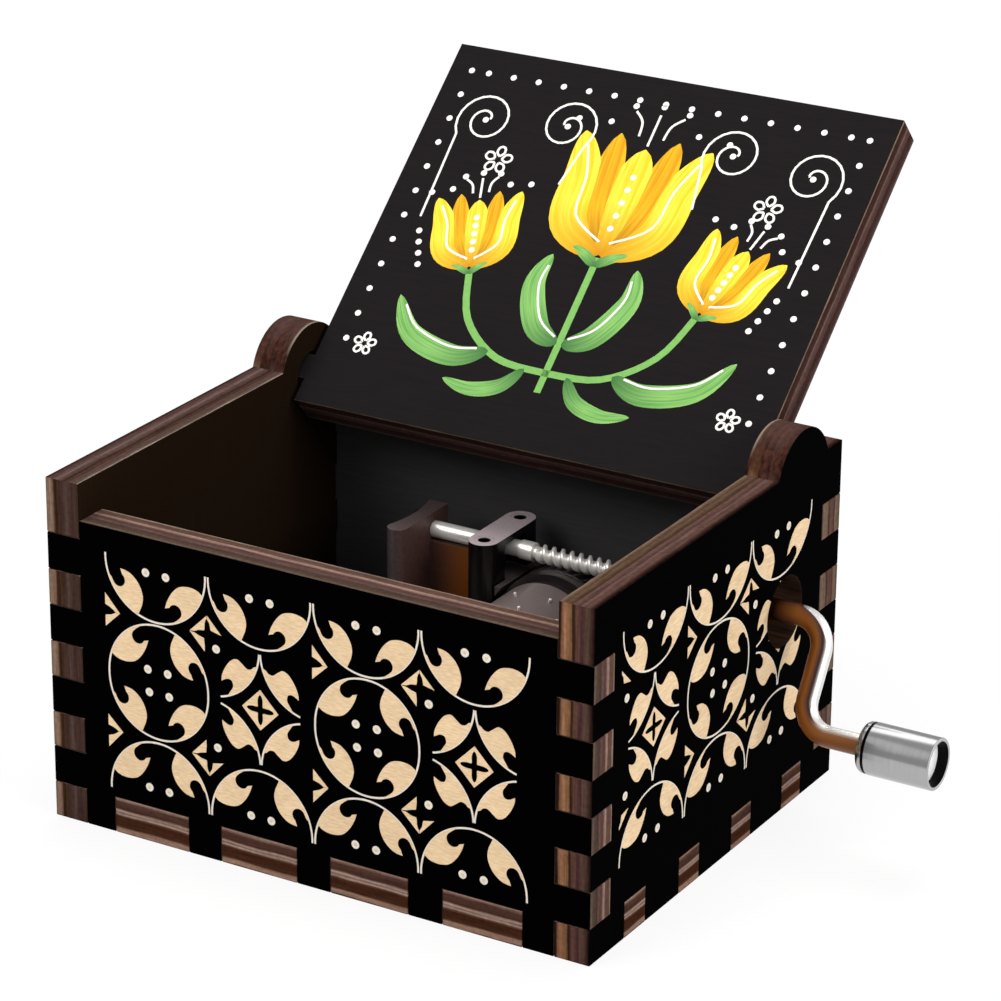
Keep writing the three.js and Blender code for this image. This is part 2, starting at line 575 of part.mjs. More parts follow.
function crankShaft() {
  const at = { y: SHAFT_Y, z: SHAFT_Z };
  const clipLow = UPRIGHT_X - CLIP_GAP - CLIP_THICKNESS - CLIP_GAP;
  const clipHigh = UPRIGHT_X;
  const tail = clipLow - SHAFT_TAIL;
  const shoulder = UPRIGHT_RIGHT + CLIP_GAP;
  const groove = WORM_RADIUS - WORM_GROOVE_DEPTH;
  const grooveLow = WORM_START_X - WORM_GROOVE_WIDTH;
  const root = WORM_RADIUS - THREAD_DEPTH;
  const plain = turned(
    "x",
    [
      [0, tail],
      [JOURNAL_RADIUS, tail],
      [JOURNAL_RADIUS, clipLow],
      [CLIP_GROOVE_RADIUS, clipLow],
      [CLIP_GROOVE_RADIUS, clipHigh],
      [JOURNAL_RADIUS, clipHigh],
      [JOURNAL_RADIUS, shoulder],
      [SHAFT_RADIUS, shoulder],
      [SHAFT_RADIUS, SHOULDER_X],
      [WORM_RADIUS, SHOULDER_X],
      [WORM_RADIUS, grooveLow],
      [groove, grooveLow],
      [groove, WORM_START_X],
      [root, WORM_START_X + WORM_PITCH],
      [0, WORM_START_X + WORM_PITCH],
    ],
    at,
    WIRE_SIDES,
  );
  const core = bar("x", root / 2, WORM_END_X - WORM_PITCH, WORM_END_X + WORM_PITCH, at, WIRE_SIDES);
  const knobFloor = KNOB_START_X + KNOB_FLOOR;
  const end = knobFloor + KNOB_CLEARANCE + WASHER_THICKNESS + KNOB_CLEARANCE;
  const section = new THREE.Shape(arcPoints(0, 0, WIRE_RADIUS, 0, 2 * Math.PI, WIRE_SIDES).slice(1));
  const path = crankPath(WORM_END_X, end + RIVET_HEIGHT / 2);
  const wire = new THREE.ExtrudeGeometry(section, { steps: WIRE_STEPS, extrudePath: path });
  const rivet = [
    [0, end],
    [RIVET_RADIUS, end],
    [RIVET_RADIUS, end + RIVET_HEIGHT / 2],
    [RIVET_RADIUS / 2, end + RIVET_HEIGHT],
    [0, end + RIVET_HEIGHT],
  ];
  const head = turned("x", rivet, { y: KNOB_Y, z: KNOB_Z }, WIRE_SIDES);
  return join(plain, worm(), core, wire, head);
}

// A ring of helical teeth whose tooth at the top, in the worm's plane, points straight up.
function toothedRing() {
  const root = WHEEL_RADIUS - THREAD_DEPTH;
  const outline = new THREE.Shape();
  const corner = [[-FOOT_HALF_SHARE, root], [-CREST_HALF_SHARE, WHEEL_RADIUS]];
  const profile = [...corner, ...corner.map(([share, radius]) => [-share, radius]).reverse()];
  const points = [];
  for (let tooth = 0; tooth < WHEEL_TEETH; tooth += 1) {
    for (const [share, radius] of profile) {
      const angle = Math.PI / 2 + ((tooth + share) * 2 * Math.PI) / WHEEL_TEETH;
      points.push(new THREE.Vector2(radius * Math.cos(angle), radius * Math.sin(angle)));
    }
  }
  outline.setFromPoints(points);
  const options = { depth: WHEEL_FACE, steps: 1, bevelEnabled: false };
  const geometry = new THREE.ExtrudeGeometry(outline, options).rotateX(Math.PI / 2);
  geometry.translate(0, WHEEL_BACK, 0);
  const lead = (WORM_STARTS * WORM_PITCH) / (2 * Math.PI * WORM_PITCH_RADIUS);
  const place = geometry.getAttribute("position");
  for (let i = 0; i < place.count; i += 1) {
    const angle = ((place.getY(i) - SHAFT_Y) * lead) / WHEEL_PITCH_RADIUS;
    const turned = new THREE.Vector3().fromBufferAttribute(place, i).applyAxisAngle(ALONG.y, angle);
    place.setXYZ(i, turned.x, turned.y, turned.z);
  }
  return geometry.translate(DRUM_X, 0, DRUM_Z);
}

function wormWheel() {
  const bore = ARBOR_RADIUS + PRESS_GAP;
  const root = WHEEL_RADIUS - THREAD_DEPTH * 2;
  const hub = DRUM_RADIUS - DRUM_WALL - PRESS_GAP;
  const neck = WHEEL_RADIUS - NECK_STEP;
  const groove = (FLANGE_FRONT * 2 + FLANGE_BACK) / 3;
  const at = { x: DRUM_X, z: DRUM_Z };
  const body = turned(
    "y",
    [
      [0, DRUM_BACK - HUB_DEPTH],
      [hub, DRUM_BACK - HUB_DEPTH],
      [hub, DRUM_BACK + PRESS_GAP],
      [neck, DRUM_BACK + PRESS_GAP],
      [neck, FLANGE_FRONT],
      [WHEEL_RADIUS, FLANGE_FRONT],
      [WHEEL_RADIUS, groove],
      [WHEEL_RADIUS - FLANGE_GROOVE, groove + FLANGE_GROOVE],
      [WHEEL_RADIUS, groove + 2 * FLANGE_GROOVE],
      [WHEEL_RADIUS, FLANGE_BACK],
      [root, FLANGE_BACK],
      [root, WHEEL_BACK - FLANGE_GROOVE],
      [0, WHEEL_BACK - FLANGE_GROOVE],
    ],
    at,
    DRUM_SIDES,
  );
  const through = bar("y", bore, DRUM_BACK - HUB_DEPTH - OVERRUN, WHEEL_BACK + OVERRUN, at);
  return cut(join(body, toothedRing()), through);
}

function pin(y, turn) {
  const length = PIN_ROOT + PIN_HEIGHT;
  const geometry = new THREE.CylinderGeometry(PIN_RADIUS, PIN_RADIUS, length, WIRE_SIDES / 2);
  turnedTo("z", geometry).translate(0, 0, DRUM_RADIUS + (PIN_HEIGHT - PIN_ROOT) / 2);
  return geometry.rotateY(turn * 2 * Math.PI).translate(DRUM_X, y, DRUM_Z);
}

function pinDrum() {
  const bore = DRUM_RADIUS - DRUM_WALL;
  const profile = [
    [bore, DRUM_FRONT],
    [DRUM_RADIUS, DRUM_FRONT],
    [DRUM_RADIUS, DRUM_BACK],
    [bore, DRUM_BACK],
    [bore, DRUM_FRONT],
  ];
  const tube = turned("y", profile, { x: DRUM_X, z: DRUM_Z }, DRUM_SIDES);
  const pins = [];
  for (let i = 0; i < TRACKS * PINS_PER_TRACK; i += 1) {
    const track = Math.floor(i / PINS_PER_TRACK);
    const turn = PIN_START_SHARE + i * PIN_TURN_SHARE;
    pins.push(pin(FIRST_TRACK_Y + track * TRACK_PITCH, turn - Math.floor(turn)));
  }
  return join(tube, ...pins);
}

function drumEndCap() {
  const rim = DRUM_RADIUS - DRUM_WALL - PRESS_GAP;
  const bore = ARBOR_RADIUS + PRESS_GAP;
  const low = DRUM_FRONT;
  const high = DRUM_FRONT + CAP_THICKNESS;
  const profile = [[bore, low], [rim, low], [rim, high], [bore, high], [bore, low]];
  return turned("y", profile, { x: DRUM_X, z: DRUM_Z }, DRUM_SIDES);
}

function drumArbor() {
  const front = BEARING_PLATE_Y - PIVOT_OVERHANG;
  const back = REAR_CHEEK_Y + CHEEK_THICKNESS + PIVOT_OVERHANG;
  const profile = [
    [0, front],
    [PIVOT_RADIUS, front],
    [PIVOT_RADIUS, DRUM_FRONT - END_PLAY / 2],
    [ARBOR_RADIUS, DRUM_FRONT - END_PLAY / 2],
    [ARBOR_RADIUS, WHEEL_BACK + END_PLAY / 2],
    [PIVOT_RADIUS, WHEEL_BACK + END_PLAY / 2],
    [PIVOT_RADIUS, back],
    [0, back],
  ];
  return turned("y", profile, { x: DRUM_X, z: DRUM_Z }, SCREW_SIDES);
}

// Comb: a thick body screwed to the frame, thin tuned teeth, and weights under the low teeth.
function comb() {
  const toothLength = (i) => THREE.MathUtils.lerp(LONGEST_TOOTH, SHORTEST_TOOTH, i / (TRACKS - 1));
  const front = COMB_MIDDLE_Y - COMB_WIDTH / 2;
  const back = COMB_MIDDLE_Y + COMB_WIDTH / 2;
  const points = [[COMB_BACK_X, back], [COMB_BACK_X, front]];
  const rootFront = COMB_TIP_X - LONGEST_TOOTH;
  const rootBack = COMB_TIP_X - SHORTEST_TOOTH;
  points.push([rootFront, front]);
  for (let i = 0; i < TRACKS; i += 1) {
    const middle = FIRST_TRACK_Y + i * TRACK_PITCH;
    const half = (TRACK_PITCH - TOOTH_SLOT) / 2;
    const root = COMB_TIP_X - toothLength(i);
    points.push([root, middle - half], [COMB_TIP_X, middle - half]);
    points.push([COMB_TIP_X, middle + half], [root, middle + half]);
  }
  points.push([rootBack, back]);
  const teeth = new THREE.Shape(points.map((p) => new THREE.Vector2(...p)));
  const body = [[COMB_BACK_X, back], [COMB_BACK_X, front], [rootFront - COMB_MARGIN, front], [rootBack - COMB_MARGIN, back]];
  const slab = new THREE.Shape(body.map((p) => new THREE.Vector2(...p)));
  const pieces = [raised(teeth, COMB_TOP - TOOTH_THICKNESS, COMB_TOP), raised(slab, COMB_TOP - COMB_THICKNESS, COMB_TOP)];
  for (let i = 0; i < WEIGHTED_TEETH; i += 1) {
    const middle = FIRST_TRACK_Y + i * TRACK_PITCH;
    const half = (TRACK_PITCH - TOOTH_SLOT) / 2;
    const depth = THREE.MathUtils.lerp(WEIGHT_DEPTH, TOOTH_THICKNESS, i / WEIGHTED_TEETH);
    const low = COMB_TOP - TOOTH_THICKNESS - depth;
    const across = [COMB_TIP_X - WEIGHT_LENGTH, COMB_TIP_X - TOOTH_THICKNESS];
    pieces.push(box(across, [middle - half, middle + half], [low, COMB_TOP - TOOTH_THICKNESS / 2]));
  }
  const holes = combScrewPlaces().map((y) =>
    bar("z", MACHINE_SHANK + SCREW_GAP, COMB_TOP - COMB_THICKNESS - OVERRUN, COMB_TOP + OVERRUN, { x: COMB_SCREW_X, y }),
  );
  return cut(join(...pieces), ...holes);
}

function combScrewPlaces() {
  const half = (COMB_WIDTH * COMB_SCREW_SPREAD_SHARE) / 2;
  return [COMB_MIDDLE_Y - half, COMB_MIDDLE_Y + half];
}

// A cheese-head screw standing on a face at `seat`, with a slot across its head.
function machineScrew(place, seat, head, height, shank, length) {
  const profile = [[0, seat - length], [shank, seat - length], [shank, seat], [head, seat], [head, seat + height], [0, seat + height]];
  const body = turned("z", profile, place, SCREW_SIDES);
  const half = (head * SLOT_WIDTH_SHARE) / 2;
  const low = seat + height * (1 - SLOT_DEPTH_SHARE);
  const across = [place.x - head - OVERRUN, place.x + head + OVERRUN];
  return cut(body, box(across, [place.y - half, place.y + half], [low, seat + height + OVERRUN]));
}

// A countersunk screw that comes up through the bottom panel into the frame's boss.
function frameScrew(x, y) {
  const body = turned(
    "z",
    countersunk(FRAME_SCREW_SUNK, FRAME_SCREW_HEAD, FRAME_SCREW_SHANK, FRAME_SCREW_CONE, FRAME_SCREW_LENGTH),
    { x, y },
    SCREW_SIDES,
  );
  const half = (FRAME_SCREW_HEAD * SLOT_WIDTH_SHARE) / 2;
  const across = [x - FRAME_SCREW_HEAD - OVERRUN, x + FRAME_SCREW_HEAD + OVERRUN];
  const depth = FRAME_SCREW_SUNK + FRAME_SCREW_CONE * SLOT_DEPTH_SHARE;
  return cut(body, box(across, [y - half, y + half], [-OVERRUN, depth]));
}

// Frame: base plate, comb bed, scooped upright, web under the shaft, pedestal, bearings, bosses.
function roundedPlate() {
  const c = FRAME_CORNER;
  const quarter = Math.PI / 2;
  const segments = BRIDGE_SEGMENTS / 2;
  return new THREE.Shape([
    ...arcPoints(FRAME_RIGHT - c, FRAME_BACK - c, c, 0, quarter, segments),
    ...arcPoints(FRAME_LEFT + c, FRAME_BACK - c, c, quarter, 2 * quarter, segments),
    ...arcPoints(FRAME_LEFT + c, FRAME_FRONT + c, c, 2 * quarter, 3 * quarter, segments),
    ...arcPoints(FRAME_RIGHT - c, FRAME_FRONT + c, c, 3 * quarter, 4 * quarter, segments),
  ]);
}

// The upright's plan: a rounded nose at the front, a scooped outer side and a flat inner side.
function uprightPlan() {
  const front = SHAFT_Y - UPRIGHT_FORWARD;
  const back = SHAFT_Y + UPRIGHT_BEHIND;
  const nose = UPRIGHT_THICKNESS / 2 + UPRIGHT_HOLLOW / 2;
  const noseX = UPRIGHT_RIGHT - nose;
  const points = arcPoints(noseX, front + nose, nose, Math.PI, 2 * Math.PI, BRIDGE_SEGMENTS);
  const scoop = new THREE.QuadraticBezierCurve(
    new THREE.Vector2(UPRIGHT_X - UPRIGHT_HOLLOW, back),
    new THREE.Vector2(UPRIGHT_X + UPRIGHT_HOLLOW, (front + back) / 2),
    points[0].clone(),
  );
  const side = scoop.getPoints(BRIDGE_SEGMENTS / 2).slice(0, -1);
  return new THREE.Shape([...points, new THREE.Vector2(UPRIGHT_RIGHT, back), ...side]);
}

// Room for the drum and the wheel to turn in.
function wheelRoom() {
  return bar("y", ROOM_RADIUS, DRUM_FRONT, REAR_CHEEK_Y - PRESS_GAP, { x: DRUM_X, z: DRUM_Z }, DRUM_SIDES);
}

function movementFrame() {
  const plate = raised(roundedPlate(), SHEET, FRAME_TOP);
  const combBottom = COMB_TOP - COMB_THICKNESS;
  const inset = COMB_MARGIN;
  const bed = box(
    [COMB_BACK_X + inset, COMB_BACK_X + COMB_BODY - inset],
    [COMB_MIDDLE_Y - COMB_WIDTH / 2 + inset, COMB_MIDDLE_Y + COMB_WIDTH / 2 - inset],
    [FRAME_TOP - OVERRUN, combBottom],
  );
  const upright = raised(uprightPlan(), FRAME_TOP - OVERRUN, BRIDGE_TOP);
  const legSide = BRIDGE_RADIUS + SCREW_GAP;
  const web = box(
    [UPRIGHT_RIGHT - UPRIGHT_THICKNESS / 2, BRIDGE_X],
    [SHAFT_Y - WEB_THICKNESS / 2, SHAFT_Y + WEB_THICKNESS / 2],
    [FRAME_TOP - OVERRUN, WEB_TOP],
  );
  const pedestalTop = SHAFT_Z - PEDESTAL_DROP;
  const archHalf = BRIDGE_ARCH / 2 - SCREW_GAP;
  const between = box(
    [BRIDGE_X - BRIDGE_RADIUS, BRIDGE_X + legSide + PEDESTAL_LIP],
    [SHAFT_Y - archHalf, SHAFT_Y + archHalf],
    [FRAME_TOP - OVERRUN, pedestalTop],
  );
  const legSpan = BRIDGE_HOLE_SPACING / 2 + BRIDGE_RADIUS / 2;
  const lip = box(
    [BRIDGE_X + legSide, BRIDGE_X + legSide + PEDESTAL_LIP],
    [SHAFT_Y - legSpan, SHAFT_Y + legSpan],
    [FRAME_TOP - OVERRUN, pedestalTop],
  );
  const tailTop = TAIL_BEARING_WIDTH / 2;
  const tailBearing = lateral(
    archOutline(SHAFT_Y, SHAFT_Z, FRAME_TOP - OVERRUN, TAIL_BEARING_WIDTH, tailTop),
    TAIL_BEARING_X,
    TAIL_BEARING_X + CHEEK_THICKNESS,
  );
  const rearCheek = frontal(
    archOutline(DRUM_X, DRUM_Z, FRAME_TOP - OVERRUN, CHEEK_WIDTH, BEARING_PLATE_TOP),
    REAR_CHEEK_Y,
    REAR_CHEEK_Y + CHEEK_THICKNESS,
  );
  const bosses = FRAME_SCREWS.map(([x, y]) =>
    bar("z", BOSS_RADIUS, FRAME_TOP - OVERRUN, FRAME_TOP + BOSS_HEIGHT, { x, y }),
  );
  const casting = cut(join(plate, bed, upright, web, between, lip), wheelRoom());
  return cut(join(casting, tailBearing, rearCheek, ...bosses), ...frameHoles(combBottom));
}

function frameHoles(combBottom) {
  const shaft = { y: SHAFT_Y, z: SHAFT_Z };
  const axis = { x: DRUM_X, z: DRUM_Z };
  const screwEnd = COMB_TOP - MACHINE_LENGTH - SCREW_GAP;
  const shank = MACHINE_SHANK + SCREW_GAP;
  const small = SMALL_SHANK + SCREW_GAP;
  const below = SHEET - OVERRUN;
  const journal = [UPRIGHT_X - UPRIGHT_THICKNESS, UPRIGHT_RIGHT + BEARING_GAP];
  const tail = [TAIL_BEARING_X - OVERRUN, TAIL_BEARING_X + CHEEK_THICKNESS + OVERRUN];
  const rear = [REAR_CHEEK_Y - OVERRUN, REAR_CHEEK_Y + CHEEK_THICKNESS + OVERRUN];
  return [
    bar("x", JOURNAL_RADIUS + BEARING_GAP, ...journal, shaft, WIRE_SIDES),
    bar("x", CLIP_RADIUS + SCREW_GAP, UPRIGHT_X - UPRIGHT_THICKNESS, UPRIGHT_X, shaft, WIRE_SIDES * 2),
    bar("x", WIRE_RADIUS + BEARING_GAP, ...tail, shaft, WIRE_SIDES),
    bar("y", PIVOT_RADIUS + BEARING_GAP, ...rear, axis),
    ...combScrewPlaces().map((y) => bar("z", shank, screwEnd, combBottom + OVERRUN, { x: COMB_SCREW_X, y })),
    ...bridgeScrewPlaces().map((y) => bar("z", small, below, FRAME_TOP + OVERRUN, { x: BRIDGE_X, y })),
    bar("z", small, below, FRAME_TOP + OVERRUN, bearingScrewPlace()),
    ...FRAME_SCREWS.map(([x, y]) =>
      bar("z", FRAME_SCREW_SHANK + SCREW_GAP, below, FRAME_TOP + BOSS_HEIGHT + OVERRUN, { x, y }),
    ),
  ];
}

function bridgeScrewPlaces() {
  return [SHAFT_Y - BRIDGE_HOLE_SPACING / 2, SHAFT_Y + BRIDGE_HOLE_SPACING / 2];
}

function bearingScrewPlace() {
  return { x: DRUM_X, y: BEARING_PLATE_Y - BEARING_FOOT / 2 };
}

// Bridge: a post with round ends, opened below its top plate so that the shaft goes through.
function shaftBridge() {
  const plan = stadium(BRIDGE_X, SHAFT_Y, BRIDGE_HOLE_SPACING, BRIDGE_RADIUS, BRIDGE_SEGMENTS);
  const post = raised(plan, FRAME_TOP, BRIDGE_TOP);
  const arch = box(
    [BRIDGE_X - BRIDGE_RADIUS - OVERRUN, BRIDGE_X + BRIDGE_RADIUS + OVERRUN],
    [SHAFT_Y - BRIDGE_ARCH / 2, SHAFT_Y + BRIDGE_ARCH / 2],
    [FRAME_TOP - OVERRUN, BRIDGE_TOP - BRIDGE_PLATE],
  );
  const seat = BRIDGE_TOP - SMALL_HEAD_SUNK - SMALL_HEAD_HEIGHT;
  const cutters = bridgeScrewPlaces().flatMap((y) => [
    bar("z", SMALL_SHANK + SCREW_GAP, FRAME_TOP - OVERRUN, BRIDGE_TOP, { x: BRIDGE_X, y }),
    bar("z", SMALL_HEAD + SCREW_GAP, seat, BRIDGE_TOP + OVERRUN, { x: BRIDGE_X, y }),
  ]);
  return cut(post, arch, wheelRoom(), ...cutters);
}

function bridgeScrew(y) {
  const seat = BRIDGE_TOP - SMALL_HEAD_SUNK - SMALL_HEAD_HEIGHT;
  const length = seat - SHEET - SMALL_HEAD_HEIGHT;
  return machineScrew({ x: BRIDGE_X, y }, seat, SMALL_HEAD, SMALL_HEAD_HEIGHT, SMALL_SHANK, length);
}

// The drum's removable front bearing: an upright plate on a foot.
function frontBearingPlate() {
  const back = BEARING_PLATE_Y + BEARING_PLATE_THICKNESS;
  const upright = frontal(
    archOutline(DRUM_X, DRUM_Z, FRAME_TOP, CHEEK_WIDTH, BEARING_PLATE_TOP),
    BEARING_PLATE_Y,
    back,
  );
  const footFront = BEARING_PLATE_Y - BEARING_FOOT;
  const half = CHEEK_WIDTH / 2;
  const foot = box([DRUM_X - half, DRUM_X + half], [footFront, back], [FRAME_TOP, FRAME_TOP + BEARING_PLATE_THICKNESS]);
  const span = [BEARING_PLATE_Y - OVERRUN, back + OVERRUN];
  const pivot = bar("y", PIVOT_RADIUS + BEARING_GAP, ...span, { x: DRUM_X, z: DRUM_Z });
  const hole = bar("z", SMALL_SHANK + SCREW_GAP, FRAME_TOP - OVERRUN, FRAME_TOP + BEARING_FOOT, bearingScrewPlace());
  return cut(join(upright, foot), pivot, hole);
}

function bearingScrew() {
  const seat = FRAME_TOP + BEARING_PLATE_THICKNESS;
  const length = BEARING_PLATE_THICKNESS + FRAME_THICKNESS - SCREW_GAP;
  return machineScrew(bearingScrewPlace(), seat, BEARING_HEAD, SMALL_HEAD_HEIGHT, SMALL_SHANK, length);
}

// Rings on the wire
function ring(inner, outer, low, high, at, sides) {
  return turned("x", [[inner, low], [outer, low], [outer, high], [inner, high], [inner, low]], at, sides);
}

function shaftClip() {
  const high = UPRIGHT_X - CLIP_GAP;
  const at = { y: SHAFT_Y, z: SHAFT_Z };
  return ring(CLIP_GROOVE_RADIUS + CLIP_GAP, CLIP_RADIUS, high - CLIP_THICKNESS, high, at, WIRE_SIDES * 2);
}

function knobWasher() {
  const low = KNOB_START_X + KNOB_FLOOR + KNOB_CLEARANCE;
  const at = { y: KNOB_Y, z: KNOB_Z };
  return ring(WIRE_RADIUS + CLIP_GAP, WASHER_RADIUS, low, low + WASHER_THICKNESS, at, WIRE_SIDES * 2);
}

// Knob: a turned sleeve with a lip and a groove at its inner end, open at its outer end.
function crankKnob() {
  const hole = WIRE_RADIUS + KNOB_CLEARANCE;
  const bore = KNOB_RADIUS - KNOB_WALL;
  const start = KNOB_START_X;
  const end = start + KNOB_LENGTH;
  const floor = start + KNOB_FLOOR;
  const profile = [
    [hole, start],
    [KNOB_RADIUS - KNOB_ROUND * 2, start],
    [KNOB_RADIUS - KNOB_ROUND, start + KNOB_ROUND / 2],
    [KNOB_RADIUS - KNOB_GROOVE, start + KNOB_ROUND * 2],
    [KNOB_RADIUS - KNOB_GROOVE, start + KNOB_LIP - KNOB_GROOVE],
    [KNOB_RADIUS - KNOB_GROOVE * 2, start + KNOB_LIP],
    [KNOB_RADIUS, start + KNOB_LIP + KNOB_GROOVE],
    [KNOB_RADIUS, end - KNOB_GROOVE],
    [KNOB_RADIUS - KNOB_GROOVE, end],
    [bore + KNOB_GROOVE, end],
    [bore, end - KNOB_GROOVE],
    [bore, floor],
    [hole, floor],
    [hole, start],
  ];
  return turned("x", profile, { y: KNOB_Y, z: KNOB_Z }, KNOB_SIDES);
}

// Assembly
const musicBox = new THREE.Group();

function add(parent, name, geometry, finish) {
  const mesh = new THREE.Mesh(geometry, finish(name));
  mesh.name = name;
  parent.add(mesh);
  return mesh;
}

const caseGroup = new THREE.Group();
add(caseGroup, "front_panel", frontal(endPanelOutline(FRONT_HEIGHT), -CASE_DEPTH / 2, -INNER_Y), plywood);
add(caseGroup, "back_panel", frontal(endPanelOutline(backHeight()), INNER_Y, CASE_DEPTH / 2), plywood);
add(caseGroup, "left_panel", sidePanel(-1), plywood);
add(caseGroup, "right_panel", sidePanel(1), plywood);
add(caseGroup, "bottom_panel", bottomPanel(), plywood);
FRAME_SCREWS.forEach(([x, y], i) => add(caseGroup, `frame_screw_${i + 1}`, frameScrew(x, y), steel));

const lidGroup = new THREE.Group();
lidGroup.position.set(0, PIVOT_Y, PIVOT_Z);
lidGroup.rotation.x = -THREE.MathUtils.degToRad(LID_OPEN_DEGREES);
add(lidGroup, "lid_panel", lid(), plywood);

const movement = new THREE.Group();
add(movement, "movement_frame", movementFrame(), darkMetal);
add(movement, "shaft_bridge", shaftBridge(), darkMetal);
bridgeScrewPlaces().forEach((y, i) => add(movement, `bridge_screw_${i + 1}`, bridgeScrew(y), darkMetal));
add(movement, "front_bearing_plate", frontBearingPlate(), steel);
add(movement, "bearing_screw", bearingScrew(), steel);
add(movement, "comb", comb(), steel);
combScrewPlaces().forEach((y, i) => {
  const place = { x: COMB_SCREW_X, y };
  const screw = machineScrew(place, COMB_TOP, MACHINE_HEAD, MACHINE_HEAD_HEIGHT, MACHINE_SHANK, MACHINE_LENGTH);
  add(movement, `comb_screw_${i + 1}`, screw, steel);
});

const drumGroup = new THREE.Group();
add(drumGroup, "pin_drum", pinDrum(), steel);
add(drumGroup, "drum_end_cap", drumEndCap(), darkMetal);
add(drumGroup, "worm_wheel", wormWheel(), darkMetal);
add(drumGroup, "drum_arbor", drumArbor(), steel);

const crankGroup = new THREE.Group();
add(crankGroup, "crank_shaft", crankShaft(), steel);
add(crankGroup, "shaft_clip", shaftClip(), steel);
add(crankGroup, "knob_washer", knobWasher(), steel);
add(crankGroup, "crank_knob", crankKnob(), steel);

musicBox.add(caseGroup, lidGroup, movement, drumGroup, crankGroup);

export default musicBox;
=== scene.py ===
"""Looks of a hand-cranked wooden music box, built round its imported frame.

The case is black-printed plywood with laser-cut edges and a tan scroll ornament, the lid carries a
painted flower design, and inside are a cast frame, a bridge, a wheel and a pinned drum under a worm.
"""

from __future__ import annotations

import json
import logging
import math
from collections.abc import Iterable, Sequence
from dataclasses import dataclass
from enum import Enum
import bmesh
import bpy
from mathutils import Matrix, Vector


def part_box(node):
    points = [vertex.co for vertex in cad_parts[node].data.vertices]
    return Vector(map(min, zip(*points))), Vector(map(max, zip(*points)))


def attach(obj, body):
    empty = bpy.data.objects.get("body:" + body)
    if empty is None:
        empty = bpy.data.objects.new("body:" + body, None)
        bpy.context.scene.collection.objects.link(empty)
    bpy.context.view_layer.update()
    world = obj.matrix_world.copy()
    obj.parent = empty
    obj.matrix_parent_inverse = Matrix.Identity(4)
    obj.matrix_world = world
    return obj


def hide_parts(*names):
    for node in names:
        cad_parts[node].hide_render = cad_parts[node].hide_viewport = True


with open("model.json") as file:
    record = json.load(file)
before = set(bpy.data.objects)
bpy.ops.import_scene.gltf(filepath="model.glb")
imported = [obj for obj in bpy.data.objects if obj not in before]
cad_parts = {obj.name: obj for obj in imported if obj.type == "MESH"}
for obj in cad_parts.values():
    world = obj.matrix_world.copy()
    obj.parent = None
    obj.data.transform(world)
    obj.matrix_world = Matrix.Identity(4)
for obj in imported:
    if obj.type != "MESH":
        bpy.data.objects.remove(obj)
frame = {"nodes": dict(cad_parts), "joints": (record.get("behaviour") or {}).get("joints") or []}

LOG = logging.getLogger("music_box")
MM = 0.001
IMAGE_SIDE = 1001
WELD = 1e-6
MULTIPLIED = {"data_type": "RGBA", "blend_type": "MULTIPLY"}
Point = tuple[float, float]
Triple = tuple[float, float, float]
Colour = tuple[float, float, float, float]
Inputs = dict[str | int, object]
Socket = bpy.types.NodeSocket
Tree = bpy.types.NodeTree
Piece = bpy.types.Object


class Body(Enum):
    """The bodies that pieces ride on."""

    CASE = "case"
    LID = "lid"
    CRANK = "crank"
    KNOB = "knob"
    DRUM = "drum"


class Slot(Enum):
    """The record's material slots."""

    PLYWOOD = "black_plywood"
    LID = "lid_plywood"
    CAST = "cast_frame"
    ENAMEL = "black_steel"
    STEEL = "steel"
    WIRE = "polished_wire"
    KNOB = "knob_metal"


class Column(Enum):
    """The two kinds of upright column in the scroll ornament."""

    CIRCLE = "circle"
    STAR = "star"


class Marks(Enum):
    """How a metal was worked, as the spacing of its marks along X, Y and Z in millimetres."""

    TURNED_X = (0.09, 6.0, 6.0)
    TURNED_Y = (6.0, 0.12, 6.0)
    BRUSHED_Y = (0.12, 5.0, 0.4)
    CAST = (0.45, 0.45, 0.45)
    DRAWN_X = (5.0, 0.2, 0.2)


def linear(colour: str) -> Colour:
    """Turns an sRGB hex colour to linear RGBA.

    Args:
        colour: six hex digits after a hash sign.

    Returns:
        The linear red, green, blue and an alpha of 1.
    """
    shares = [int(colour[i : i + 2], 16) / 255 for i in (1, 3, 5)]
    bright = [s / 12.92 if s <= 0.04045 else ((s + 0.055) / 1.055) ** 2.4 for s in shares]
    return (*bright, 1.0)


def add_node(
    tree: Tree,
    kind: str,
    inputs: Inputs | None = None,
    stops: Sequence[tuple[float, str]] = (),
    **settings: object,
) -> bpy.types.Node:
    """Adds a node with its settings, its inputs and, on a ramp, its stops.

    Args:
        tree: the tree that the node goes into.
        kind: the node's type name.
        inputs: an input's name or number, and the socket linked to it or its value.
        stops: places and hex colours of a colour ramp, in rising order.
        settings: the node's own attributes.

    Returns:
        The new node.
    """
    node = tree.nodes.new(kind)
    for name, value in settings.items():
        setattr(node, name, value)
    for key, value in (inputs or {}).items():
        if isinstance(value, Socket):
            tree.links.new(value, node.inputs[key])
        else:
            node.inputs[key].default_value = value
    if stops:
        elements = node.color_ramp.elements
        elements.remove(elements[-1])
        for i, (place, colour) in enumerate(stops):
            element = elements.new(place) if i else elements[0]
            element.position = place
            element.color = linear(colour)
    return node


